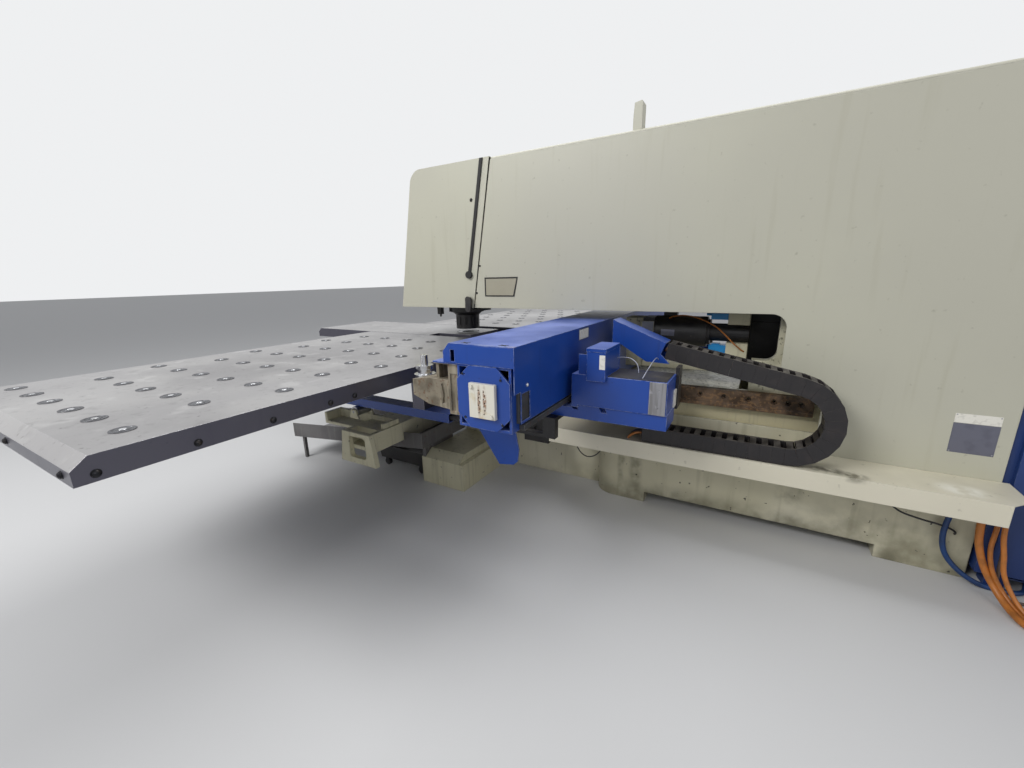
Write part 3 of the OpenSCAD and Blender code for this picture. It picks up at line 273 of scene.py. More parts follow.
def mixed(tree, mask, tone, colour):
    """A tone with a colour over it where the mask is 1."""
    factor, first, second, result = 0, 6, 7, 2
    terms = {factor: mask, first: tone, second: (*colour, 1.0)}
    return add(tree, "ShaderNodeMix", terms, data_type="RGBA").outputs[result]


# Finishes and their layers of dirt and wear, with some painted light and reflection


def patches(scale, low, high, code, strength, rough=0.0):
    """A layer of soft patches."""
    return "patches", {"scale": scale, "low": low, "high": high}, srgb(code), strength, rough


def drips(scale, low, high, code, strength, rough=0.0):
    """A layer of streaks that run down."""
    return "drips", {"scale": scale, "low": low, "high": high}, srgb(code), strength, rough


def dust_and_sheen(scale, amount, code, strength, rough=0.0):
    """A layer on what faces up."""
    return "dust_and_sheen", {"scale": scale, "amount": amount}, srgb(code), strength, rough


def sides(low, high, code, strength, rough=0.0):
    """A layer on upright faces."""
    return "sides", {"low": low, "high": high}, srgb(code), strength, rough


def spot(centre, size, scale, code, strength, rough=0.0, low=0.3, high=0.6):
    """A stain round one place; on the frame plate, a painted light."""
    values = {"centre": centre, "size": size, "scale": scale, "low": low, "high": high}
    return "spot", values, srgb(code), strength, rough


FINISHES = {}
NO_EDGE_WEAR = ("000000", 20.0, 0.9, 0.0)


def finish(
    label,
    name,
    colour,
    rough=0.45,
    metallic=0.0,
    layers=(),
    edge=NO_EDGE_WEAR,
    grain=None,
    stretch=(1.0, 1.0, 1.0),
    radius=0.003,
    coat=0.0,
):
    """Makes a finish: a base colour under layers of dirt, wear and, on a few finishes, painted light and
    reflection, with rounded edges and a fine grain.

    layers: (group name, group values, colour, strength, roughness change), as patches() and the others give
    edge: (colour code, scale, low level, strength)
    grain: (scale, height), with its noise squeezed along X, Y and Z by stretch
    """
    m = bpy.data.materials.new(name)
    m.use_nodes = True
    t = m.node_tree
    t.nodes.clear()
    coord = add(t, "ShaderNodeTexCoord").outputs["Object"]
    base = add(t, "ShaderNodeRGB")
    base.outputs[0].default_value = (*colour, 1.0)
    tone = base.outputs[0]
    shade = add(t, "ShaderNodeValue")
    shade.outputs[0].default_value = rough
    roughness = shade.outputs[0]
    for kind, values, layer_colour, strength, change in layers:
        mask = times(t, group(t, kind, vector=coord, **values).outputs["Mask"], strength)
        tone = mixed(t, mask, tone, layer_colour)
        if change:
            terms = {0: mask, 1: change, 2: roughness}
            roughness = add(t, "ShaderNodeMath", terms, operation="MULTIPLY_ADD", use_clamp=True).outputs[0]
    edge_code, edge_scale, edge_low, edge_strength = edge
    edges = group(t, "edges", vector=coord, radius=radius, scale=edge_scale, low=edge_low)
    if edge_strength:
        tone = mixed(t, times(t, edges.outputs["Mask"], edge_strength), tone, srgb(edge_code))
    normal = edges.outputs["Normal"]
    if grain:
        scale, height = grain
        squeeze = add(t, "ShaderNodeVectorMath", {0: coord, 1: stretch}, operation="MULTIPLY").outputs[0]
        grey = noise(t, squeeze, scale, 4.0)
        bumps = {"Height": grey, "Distance": height, "Strength": 1.0, "Normal": normal}
        normal = add(t, "ShaderNodeBump", bumps).outputs["Normal"]
    values = {
        "Base Color": tone,
        "Roughness": roughness,
        "Metallic": metallic,
        "Normal": normal,
        "Coat Weight": coat,
        "Coat Roughness": 0.14,
    }
    shader = add(t, "ShaderNodeBsdfPrincipled", values)
    add(t, "ShaderNodeOutputMaterial", {"Surface": shader.outputs[0]})
    FINISHES[label] = m


GRIME, RUST, OIL = "7d7866", "6b3d1e", "2b2620"


def make_paints():
    """Painted sheet and castings."""
    c = bpy.context.scene.press_colours
    finish(
        "cover", "cover_paint", tuple(c.cover), rough=0.42,
        layers=[
            patches(0.9, 0.35, 0.75, "c8c7b2", 0.55),
            drips(26.0, 0.56, 0.8, "a9a58f", 0.28, 0.1),
            patches(34.0, 0.66, 0.76, GRIME, 0.35, 0.1),
        ],
        edge=("f1eee2", 22.0, 0.38, 0.5), grain=(420.0, 0.00006), radius=0.004,
    )
    finish(
        "shelf", "shelf_paint", srgb("dcd6c2"), rough=0.4,
        layers=[
            patches(1.6, 0.4, 0.7, "cdc8b4", 0.5, 0.1),
            dust_and_sheen(5.0, 0.8, "a8a28c", 0.4, 0.2),
            spot(at(2170, -525, 465), (0.09, 0.05, 0.03), 24.0, "4e4a3d", 0.85, 0.2),
            spot(at(2255, -545, 465), (0.07, 0.05, 0.03), 30.0, "57523f", 0.8, 0.2),
            spot(at(2580, -500, 465), (0.10, 0.07, 0.03), 16.0, "ece9dc", 0.9),
            spot(at(1700, -470, 465), (0.45, 0.06, 0.03), 14.0, "6d685a", 0.7, 0.2),
            patches(40.0, 0.66, 0.74, GRIME, 0.25, 0.15),
        ],
        edge=("e2dfd2", 30.0, 0.35, 0.6), grain=(380.0, 0.00008),
    )
    finish(
        "casting", "casting_paint", tuple(c.casting), rough=0.55,
        layers=[
            patches(2.2, 0.35, 0.7, "b5af92", 0.6, 0.1),
            drips(34.0, 0.5, 0.75, "857f66", 0.35, 0.1),
            patches(30.0, 0.66, 0.72, OIL, 0.6),
            patches(9.0, 0.66, 0.8, RUST, 0.3, 0.1),
        ],
        edge=(OIL, 24.0, 0.48, 0.5), grain=(120.0, 0.0006), radius=0.006,
    )
    finish(
        "base", "base_paint", srgb("dbd6c0"), rough=0.38,
        layers=[
            patches(1.8, 0.35, 0.7, "c1bc9f", 0.7, 0.05),
            drips(26.0, 0.5, 0.8, "8a8668", 0.35, 0.1),
            spot(at(2075, -300, 260), (0.07, 0.2, 0.30), 12.0, "504d33", 0.75, high=0.7),
            spot(at(2180, -300, 330), (0.3, 0.2, 0.12), 9.0, "85816a", 0.5, high=0.7),
            spot(at(1345, -300, 230), (0.05, 0.2, 0.28), 14.0, "5c5944", 0.6, high=0.7),
            spot(at(1262, -300, 250), (0.03, 0.2, 0.24), 16.0, "66634e", 0.6, high=0.7),
            spot(at(1900, -300, 10), (1.6, 0.5, 0.16), 9.0, "4a4630", 0.7, 0.1, low=0.2, high=0.7),
            spot(at(2450, -300, 60), (0.6, 0.4, 0.24), 12.0, "57533c", 0.5, 0.1, low=0.25, high=0.75),
            patches(42.0, 0.69, 0.72, "171510", 0.9),
        ],
        edge=(OIL, 24.0, 0.45, 0.6), grain=(90.0, 0.0006), stretch=(1.0, 1.0, 0.4), radius=0.006,
    )
    finish(
        "frame_plate", "frame_plate_paint", srgb("cbc7ae"), rough=0.3,
        layers=[
            patches(9.0, 0.42, 0.62, "a5a286", 0.75, 0.1),
            patches(22.0, 0.56, 0.66, "e6e5d8", 0.6, -0.1),
            patches(60.0, 0.56, 0.64, "4b4a34", 0.7, 0.2),
            # partly real, partly painted light: the band below the rail is cream paint, made paler still to
            # make up for the shade it sits in
            spot(at(1900, -250, 480), (4.0, 0.6, 0.26), 4.0, "ece3bd", 0.95, low=0.0, high=0.2),
            drips(40.0, 0.55, 0.75, "8f8b72", 0.3, 0.1),
        ],
        edge=("deddcf", 24.0, 0.4, 0.5), grain=(160.0, 0.0004), radius=0.004,
    )
    finish(
        "blue", "blue_paint", tuple(c.blue), rough=0.34,
        layers=[
            patches(2.0, 0.35, 0.75, "1b3778", 0.5, 0.05),
            # partly dust, partly painted reflection: the pale periwinkle on the blue's upward faces stands in
            # for the bright sky mirrored there
            dust_and_sheen(4.0, 0.75, "8da0ea", 0.9, 0.05),
            patches(60.0, 0.68, 0.74, "14213f", 0.5, 0.2),
            drips(40.0, 0.6, 0.8, "16264f", 0.25, 0.1),
            spot(at(1140, -1322, 1030), (0.03, 0.012, 0.01), 90.0, "a58f86", 0.7, 0.1),
            spot(at(1060, -1326, 1030), (0.12, 0.012, 0.008), 120.0, "9aa6cf", 0.6, 0.1),
        ],
        edge=("c3cbe0", 45.0, 0.40, 0.85), grain=(300.0, 0.00005), coat=0.1,
    )
    finish(
        "cabinet", "cabinet_paint", tuple(c.cabinet), rough=0.45,
        layers=[patches(1.5, 0.35, 0.75, "182c56", 0.6, 0.05), drips(30.0, 0.58, 0.8, "5a6785", 0.2, 0.1)],
        edge=("9aa6c4", 40.0, 0.48, 0.6), grain=(300.0, 0.0001),
    )
    plate_mid = middle("oil_plate")
    finish(
        "oil_plate", "oil_plate_paint", srgb("dcd8cb"), rough=0.45,
        layers=[
            patches(18.0, 0.55, 0.75, "c0a860", 0.5, 0.1),
            drips(130.0, 0.62, 0.75, "8a5a28", 0.6, 0.1),
            *(
                spot(plate_mid + Vector((x, 0, z)), size, 90.0, code, strength, 0.1, high=0.55)
                for x, z, size, code, strength in (
                    (-0.011, 0.0, (0.011, 0.05, 0.075), "7d4a17", 0.85),
                    (0.013, 0.004, (0.011, 0.05, 0.07), "7d4a17", 0.85),
                    (0.0, -0.078, (0.03, 0.05, 0.03), "c09a3c", 0.6),
                )
            ),
        ],
        edge=("f0ede4", 40.0, 0.4, 0.5), grain=(300.0, 0.0001), radius=0.002,
    )


def make_steels():
    """Bare steel."""
    c = bpy.context.scene.press_colours
    finish(
        "table", "table_steel", tuple(c.steel), rough=0.34, metallic=0.7,
        layers=[
            patches(1.3, 0.38, 0.66, "7b797a", 0.6, 0.15),
            patches(2.6, 0.46, 0.72, "cbc9c6", 0.35, -0.14),
            patches(9.0, 0.56, 0.72, "e6e5e2", 0.2, -0.14),
            drips(24.0, 0.55, 0.75, "5e5b5c", 0.2, 0.2),
            patches(50.0, 0.64, 0.72, "4b4745", 0.4, 0.3),
            # painted reflection: the tables' upright sides and rims are darker, standing in for the dark
            # surroundings the steel mirrors
            sides(0.2, 0.55, "4f4e5d", 0.85, -0.05),
        ],
        edge=("e4e4e8", 35.0, 0.3, 0.7), grain=(90.0, 0.00012), stretch=(0.6, 14.0, 14.0), radius=0.002,
    )
    finish(
        "steel", "bare_steel", srgb("a3a4a8"), rough=0.32, metallic=0.9,
        layers=[patches(12.0, 0.4, 0.7, "7c7a76", 0.6, 0.3), patches(46.0, 0.62, 0.72, RUST, 0.35, 0.3)],
        edge=("dcdcdf", 40.0, 0.35, 0.5), grain=(120.0, 0.00008), stretch=(1.0, 1.0, 9.0), radius=0.002,
    )
    finish(
        "wear_plate", "wear_plate_steel", srgb("9c9ca0"), rough=0.35, metallic=0.8,
        layers=[drips(60.0, 0.45, 0.7, "6f6c6b", 0.6, 0.2), patches(22.0, 0.56, 0.7, "c9c9d2", 0.5, -0.1)],
        edge=("dedee4", 40.0, 0.35, 0.6), grain=(200.0, 0.0001), stretch=(1.0, 1.0, 0.1), radius=0.0015,
    )
    finish(
        "bright", "bright_steel", srgb("d2d3d6"), rough=0.16, metallic=1.0,
        layers=[patches(30.0, 0.45, 0.75, "8c8a86", 0.5, 0.3)],
        radius=0.0015,
    )
    finish(
        "plate", "printed_plate", srgb("70717e"), rough=0.4, metallic=0.5,
        layers=[patches(26.0, 0.45, 0.7, "5e5f6c", 0.5, 0.1)],
        edge=("a9a9b0", 60.0, 0.3, 0.6), radius=0.0006,
    )
    finish(
        "insert", "insert_steel", srgb("55565a"), rough=0.4, metallic=0.6,
        layers=[patches(30.0, 0.4, 0.7, "3a3a3d", 0.6, 0.1)],
        edge=("c9c9cc", 60.0, 0.35, 0.6), radius=0.001,
    )
    finish(
        "bolt", "black_bolt", srgb("242428"), rough=0.28, metallic=0.7,
        layers=[patches(60.0, 0.5, 0.7, "5a5046", 0.4, 0.2)],
        radius=0.001,
    )


def make_irons():
    """Rusty, oily and blackened iron."""
    finish(
        "rail", "rusty_rail", srgb("7d6753"), rough=0.5, metallic=0.45,
        layers=[
            patches(16.0, 0.4, 0.62, "4a3a2c", 0.8, 0.2),
            patches(70.0, 0.5, 0.62, "b08a62", 0.6, 0.1),
            patches(5.0, 0.5, 0.66, "262019", 0.7),
        ],
        edge=("a9a29a", 30.0, 0.35, 0.5), grain=(300.0, 0.0003), radius=0.002,
    )
    finish(
        "housing", "oily_black_iron", srgb("242326"), rough=0.35, metallic=0.2,
        layers=[
            patches(8.0, 0.4, 0.7, "3a3836", 0.6, 0.15),
            dust_and_sheen(12.0, 0.6, "5d5950", 0.5, 0.2),
            patches(44.0, 0.62, 0.7, "6e675a", 0.35, 0.2),
        ],
        edge=("87827a", 36.0, 0.44, 0.6), grain=(180.0, 0.0003), radius=0.002,
    )
    finish(
        "iron", "dark_iron", srgb("4a4b4d"), rough=0.55, metallic=0.35,
        layers=[patches(8.0, 0.4, 0.7, "2c2b2a", 0.7, 0.1), patches(50.0, 0.6, 0.7, RUST, 0.4, 0.2)],
        edge=("9c9b98", 30.0, 0.42, 0.5), grain=(150.0, 0.0004),
    )
    finish(
        "bronze_iron", "station_casting", srgb("8d8473"), rough=0.5, metallic=0.4,
        layers=[
            patches(14.0, 0.4, 0.65, "5d5548", 0.8, 0.15),
            drips(60.0, 0.5, 0.7, "c6bda8", 0.35),
            patches(50.0, 0.58, 0.66, RUST, 0.5, 0.2),
        ],
        edge=("c9c4b8", 30.0, 0.4, 0.5), grain=(150.0, 0.0004),
    )
    finish(
        "black", "black_metal", srgb("1c1b1d"), rough=0.4,
        layers=[
            patches(9.0, 0.4, 0.7, "2f2d2c", 0.7, 0.2),
            dust_and_sheen(14.0, 0.7, "6b665c", 0.5, 0.3),
            patches(70.0, 0.64, 0.7, "5a554b", 0.35, 0.2),
        ],
        edge=("77736c", 40.0, 0.45, 0.5), grain=(260.0, 0.0001), radius=0.002,
    )
    finish(
        "chute", "chute_steel", srgb("6a6868"), rough=0.5, metallic=0.3,
        layers=[
            patches(3.0, 0.35, 0.7, "4f4d4d", 0.7, 0.1),
            drips(40.0, 0.5, 0.75, "8b8985", 0.35),
            patches(50.0, 0.62, 0.7, RUST, 0.35, 0.2),
        ],
        edge=("b3b0aa", 30.0, 0.35, 0.6), grain=(200.0, 0.0002), radius=0.002,
    )


def make_plastics():
    """Plastic, rubber and cables."""
    finish(
        "chain", "chain_plastic", srgb("1c191b"), rough=0.5,
        layers=[
            dust_and_sheen(18.0, 1.0, "75706a", 0.8, 0.3),
            patches(24.0, 0.5, 0.7, "2b2525", 0.6, 0.1),
            drips(70.0, 0.6, 0.8, "3f3a36", 0.25, 0.1),
        ],
        edge=("57514b", 40.0, 0.42, 0.4), grain=(240.0, 0.00015), radius=0.002,
    )
    finish(
        "rubber", "black_rubber", srgb("161617"), rough=0.65,
        layers=[patches(18.0, 0.45, 0.7, "2c2b2a", 0.6, 0.1)],
        grain=(300.0, 0.0001), radius=0.002,
    )
    finish(
        "pane", "window_pane", srgb("a9a492"), rough=0.12,
        layers=[patches(5.0, 0.3, 0.8, "98937f", 0.6, 0.1)],
        radius=0.001,
    )
    finish(
        "cyan", "bright_blue_plastic", srgb("1d86c4"), rough=0.35,
        layers=[patches(20.0, 0.45, 0.7, "156497", 0.5, 0.1)],
        radius=0.002,
    )
    for label, code in (
        ("orange", "b9712f"),
        ("copper", "a06a4a"),
        ("white", "aeb2c4"),
        ("hose_blue", "173c70"),
        ("grey", "5a4a42"),
        ("black", "18181a"),
    ):
        name = label + "_cable"
        layers = [patches(24.0, 0.4, 0.7, OIL, 0.35, 0.1)]
        finish(name, name, srgb(code), rough=0.4, layers=layers, radius=0.001)
    finish(
        "label", "pale_label", srgb("e9e6dc"), rough=0.5,
        layers=[patches(60.0, 0.5, 0.7, "b9b6ac", 0.5, 0.1)],
        radius=0.0005,
    )


def wear(label, *nodes):
    """Puts a finish on CAD nodes."""
    for node in nodes:
        mesh = NODES[node].data
        mesh.materials.clear()
        mesh.materials.append(FINISHES[label])


# Mesh helpers


def piece(name, mesh, label, body):
    """A new object of the machine that rides on a body."""
    obj = bpy.data.objects.new(name, mesh)
    bpy.context.scene.collection.objects.link(obj)
    if label:
        mesh.materials.clear()
        mesh.materials.append(FINISHES[label])
    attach(obj, body)
    return obj


def mesh_from(bm, name):
    """A mesh with outward faces from a bmesh."""
    bmesh.ops.remove_doubles(bm, verts=bm.verts, dist=1e-6)
    bmesh.ops.recalc_face_normals(bm, faces=bm.faces)
    mesh = bpy.data.meshes.new(name)
    bm.to_mesh(mesh)
    bm.free()
    return mesh


def box_into(bm, low, high):
    """Adds a box to a bmesh, from its lowest to its highest corner."""
    centre = (Vector(low) + Vector(high)) / 2
    size = Vector(high) - Vector(low)
    turn = Matrix.Translation(centre) @ Matrix.Diagonal((*size, 1.0))
    bmesh.ops.create_cube(bm, size=1.0, matrix=turn)


def smooth(obj, degrees=35):
    """Smooth shading with sharp edges past an angle."""
    for p in obj.data.polygons:
        p.use_smooth = True
    obj.data.set_sharp_from_angle(angle=math.radians(degrees))


def smooth_path(stops, steps=5):
    """Points on one smooth curve through the stops."""
    ends = [stops[0] * 2 - stops[1], *stops, stops[-1] * 2 - stops[-2]]
    path = []
    for a, b, c, d in zip(ends[:-3], ends[1:-2], ends[2:-1], ends[3:]):
        for k in range(steps):
            t = k / steps
            square = (2 * a - 5 * b + 4 * c - d) * t * t
            cube = (3 * b - a - 3 * c + d) * t ** 3
            path.append(0.5 * (2 * b + (c - a) * t + square + cube))
    return [*path, stops[-1]]


def tube(name, path, diameter, label, body):
    """A round tube along a path."""
    curve = bpy.data.curves.new(name, "CURVE")
    curve.dimensions = "3D"
    curve.bevel_depth = diameter / 2
    curve.bevel_resolution = 3
    curve.use_fill_caps = True
    spline = curve.splines.new("POLY")
    spline.points.add(len(path) - 1)
    for point, place in zip(spline.points, path):
        point.co = (*place, 1.0)
    host = bpy.data.objects.new(name + "_path", curve)
    bpy.context.scene.collection.objects.link(host)
    bpy.context.view_layer.update()
    mesh = bpy.data.meshes.new_from_object(host.evaluated_get(bpy.context.evaluated_depsgraph_get()))
    mesh.name = name
    bpy.data.objects.remove(host)
    new = piece(name, mesh, label, body)
    smooth(new, 50)
    return new


def hose(name, stops, diameter, label, body):
    """A hose or cable through stops in millimetres, which leaves the machine and goes back into it."""
    path = smooth_path([at(*stop) for stop in stops])
    new = tube(name, path, diameter, label, body)


def islands(node):
    """Boxes of the separate solids of a CAD node, from a merged copy of its mesh."""
    bm = bmesh.new()
    bm.from_mesh(NODES[node].data)
    bmesh.ops.remove_doubles(bm, verts=bm.verts, dist=1e-5)
    left, boxes = set(bm.verts), []
    while left:
        heap, found = [left.pop()], []
        while heap:
            v = heap.pop()
            found.append(v.co.copy())
            for e in v.link_edges:
                other = e.other_vert(v)
                if other in left:
                    left.remove(other)
                    heap.append(other)
        low = Vector([min(p[i] for p in found) for i in range(3)])
        high = Vector([max(p[i] for p in found) for i in range(3)])
        boxes.append((low, high))
    bm.free()
    return sorted(boxes, key=lambda b: tuple(round(x, 4) for x in b[0]))


def plate(name, low, high, label, body, bevel=0.0004):
    """A thin plate with softened edges."""
    bm = bmesh.new()
    box_into(bm, low, high)
    bmesh.ops.bevel(bm, geom=bm.edges, offset=bevel, segments=2, affect="EDGES")
    piece(name, mesh_from(bm, name), label, body)


def motor_plate():
    """A bent plate on the round side of the X motor."""
    bm = bmesh.new()
    arc = [math.radians(a) for a in range(-15, 12, 3)]
    grid = [
        [
            [bm.verts.new(at(x, MOTOR_Y - r * math.cos(a), MOTOR_Z + r * math.sin(a))) for a in arc]
            for r in (MOTOR_RADIUS - 0.4, MOTOR_RADIUS + 0.7)
        ]
        for x in (1408, 1477)
    ]
    (in0, out0), (in1, out1) = grid
    for k in range(len(arc) - 1):
        bm.faces.new((out0[k], out0[k + 1], out1[k + 1], out1[k]))
        bm.faces.new((in0[k], in1[k], in1[k + 1], in0[k + 1]))
        bm.faces.new((in0[k], in0[k + 1], out0[k + 1], out0[k]))
        bm.faces.new((in1[k], out1[k], out1[k + 1], in1[k + 1]))
    for k in (0, -1):
        bm.faces.new((in0[k], out0[k], out1[k], in1[k]))
    piece("motor_plate", mesh_from(bm, "motor_plate"), "plate", "y_carriage")


def cover_crosses():
    """Two dark crosses on top of the beam's cover, painted shade that stands in for cross-shaped holes."""
    bm = bmesh.new()
    bar = Matrix.Diagonal((0.036, 0.007, 0.0005, 1.0))
    for x in (937, 1100):
        for turn in (35, -35):
            place = Matrix.Translation(at(x, -1305, COVER_TOP)) @ Matrix.Rotation(math.radians(turn), 4, "Z")
            bmesh.ops.create_cube(bm, size=1.0, matrix=place @ bar)
    mesh = bpy.data.meshes.new("cover_crosses")
    bm.to_mesh(mesh)
    bm.free()
    piece("cover_crosses", mesh, "rubber", "cross_beam")


# Geometry Nodes: a stud or insert on each point of a cloud


def points_mesh(name, places):
    """A mesh of loose points with the direction each stud faces."""
    mesh = bpy.data.meshes.new(name)
    mesh.from_pydata([p for p, _ in places], [], [])
    facing = mesh.attributes.new("facing", "FLOAT_VECTOR", "POINT")
    for i, (_, d) in enumerate(places):
        facing.data[i].vector = d
    return mesh


def stud_tree(name, diameter, shape, label):
    """A Geometry Nodes tree that puts one shape on every point, facing its direction."""
    tree = bpy.data.node_groups.new(name, "GeometryNodeTree")
    tree.interface.new_socket(name="Geometry", in_out="INPUT", socket_type="NodeSocketGeometry")
    size = tree.interface.new_socket(name="Diameter", in_out="INPUT", socket_type=FLOAT)
    size.default_value = diameter
    tree.interface.new_socket(name="Geometry", in_out="OUTPUT", socket_type="NodeSocketGeometry")
    i, o = tree.nodes.new("NodeGroupInput"), tree.nodes.new("NodeGroupOutput")
    one = shape(tree, i)
    facing = add(tree, "GeometryNodeInputNamedAttribute", {"Name": "facing"}, data_type="FLOAT_VECTOR")
    turn = add(tree, "FunctionNodeAlignRotationToVector", {"Vector": facing.outputs["Attribute"]}, axis="Z")
    on = add(
        tree,
        "GeometryNodeInstanceOnPoints",
        {"Points": i.outputs["Geometry"], "Instance": one, "Rotation": turn.outputs[0]},
    )
    real = add(tree, "GeometryNodeRealizeInstances", {"Geometry": on.outputs[0]})
    coat = add(tree, "GeometryNodeSetMaterial", {"Geometry": real.outputs[0], "Material": FINISHES[label]})
    tree.links.new(coat.outputs[0], o.inputs["Geometry"])
    return tree


def studs(name, places, tree, body):
    """Runs a stud tree on its points and keeps the result as a plain mesh."""
    host = bpy.data.objects.new(name + "_points", points_mesh(name + "_points", places))
    bpy.context.scene.collection.objects.link(host)
    host.modifiers.new("Studs", "NODES").node_group = tree
    bpy.context.view_layer.update()
    mesh = bpy.data.meshes.new_from_object(host.evaluated_get(bpy.context.evaluated_depsgraph_get()))
    mesh.name = name
    bpy.data.objects.remove(host)
    obj = piece(name, mesh, None, body)
    smooth(obj)
    return obj


def turned(tree, rings):
    """A turned shape about Z in Geometry Nodes: rings of (height socket or value, radius socket or value)."""
    parts = []
    for (z0, r0), (z1, r1) in zip(rings[:-1], rings[1:]):
        depth = add(tree, "ShaderNodeMath", {0: z1, 1: z0}, operation="SUBTRACT").outputs[0]
        sizes = {"Vertices": 20, "Radius Top": r1, "Radius Bottom": r0, "Depth": depth}
        cone = add(tree, "GeometryNodeMeshCone", sizes, fill_type="NONE").outputs["Mesh"]
        lift = add(tree, "ShaderNodeCombineXYZ", {"Z": z0}).outputs[0]
        parts.append(add(tree, "GeometryNodeTransform", {"Geometry": cone, "Translation": lift}).outputs[0])
    join = tree.nodes.new("GeometryNodeJoinGeometry")
    for p in parts:
        tree.links.new(p, join.inputs[0])
    merge = {"Geometry": join.outputs[0], "Distance": 0.00002}
    return add(tree, "GeometryNodeMergeByDistance", merge).outputs[0]


def profile(*rings):
    """A turned shape whose rings are (height, radius) in shares of its diameter."""

    def shape(tree, i):
        def share(factor):
            terms = {0: i.outputs["Diameter"], 1: factor}
            return add(tree, "ShaderNodeMath", terms, operation="MULTIPLY").outputs[0]

        return turned(tree, [(share(z), share(r)) for z, r in rings])

    return shape


AXIS = 0.001  # radius of a ring that closes a shape on its axis
DOMED = profile(
    (-0.02, AXIS), (-0.02, 0.5), (0.05, 0.5), (0.07, 0.42), (0.2, 0.4), (0.32, 0.28), (0.38, 0.12),
    (0.39, AXIS),
)
SOCKET_SCREW = profile(
    (-0.02, AXIS), (-0.02, 0.5), (0.34, 0.5), (0.4, 0.44), (0.4, 0.26), (0.2, 0.24), (0.2, AXIS)
)
INSERT_RING = profile(
    (-0.002, AXIS), (-0.002, 0.5), (0.026, 0.5), (0.032, 0.48), (0.032, 0.42), (0.01, 0.4), (0.01, 0.29),
    (0.03, 0.28), (0.04, 0.24), (0.04, 0.18), (0.02, 0.17), (0.02, AXIS),
)
INSERT_BALL = profile(
    (0.01, AXIS), (0.01, 0.15), (0.035, 0.145), (0.055, 0.11), (0.064, 0.06), (0.066, AXIS)
)


class PRESS_OT_frame(bpy.types.Operator):
    """Finishes of the C-frame, the castings and the covers"""

    bl_idname = "press.frame"
    bl_label = "Frame and covers"

    def execute(self, context):
        wear("cover", "near_cover", "far_cover", "top_cover")
        wear("shelf", "chain_shelf")
        wear("base", "base_casting")
        wear("frame_plate", "c_frame")
        wear("casting", "foot_beam", "outriggers")
        wear("cabinet", "rear_cabinet", "cabinet_door")
        wear("rail", "guide_rails")
        wear("steel", "cover_standoffs", "y_screw", "near_roller", "far_roller")
        wear("iron", "screw_bearings")
        wear("rubber", "window_gasket")
        wear("pane", "window_pane")
        wear("chute", "scrap_chute")
        # painted shade: the throat liner is a black sheet that stands in for the shade deep in the frame's
        # throat
        wear("black", "slug_bin", "socket_box", "throat_liner")
        outer = COVER_FACE - PLATE_THICK
        front, rear = 2559, 2689
        plate("cover_plate_upper", at(front, outer, 682), at(rear, COVER_FACE, 719), "label", "frame")
        plate("cover_plate_lower", at(front, outer, 560), at(rear, COVER_FACE, 681), "plate", "frame")
        rivet = stud_tree("Rivet", 0.005, DOMED, "steel")
        corners = [(at(x, outer, z), TO_NEAR) for x in (front + 5, rear - 5) for z in (565, 714)]
        studs("cover_plate_rivets", corners, rivet, "frame")
        plug = stud_tree("Cover plug", 0.013, DOMED, "rubber")
        places = [(at(x, COVER_FACE, z), TO_NEAR) for x, z in ((363, 1331), (334, 1170))]
        studs("cover_plugs", places, plug, "frame")
        return {"FINISHED"}


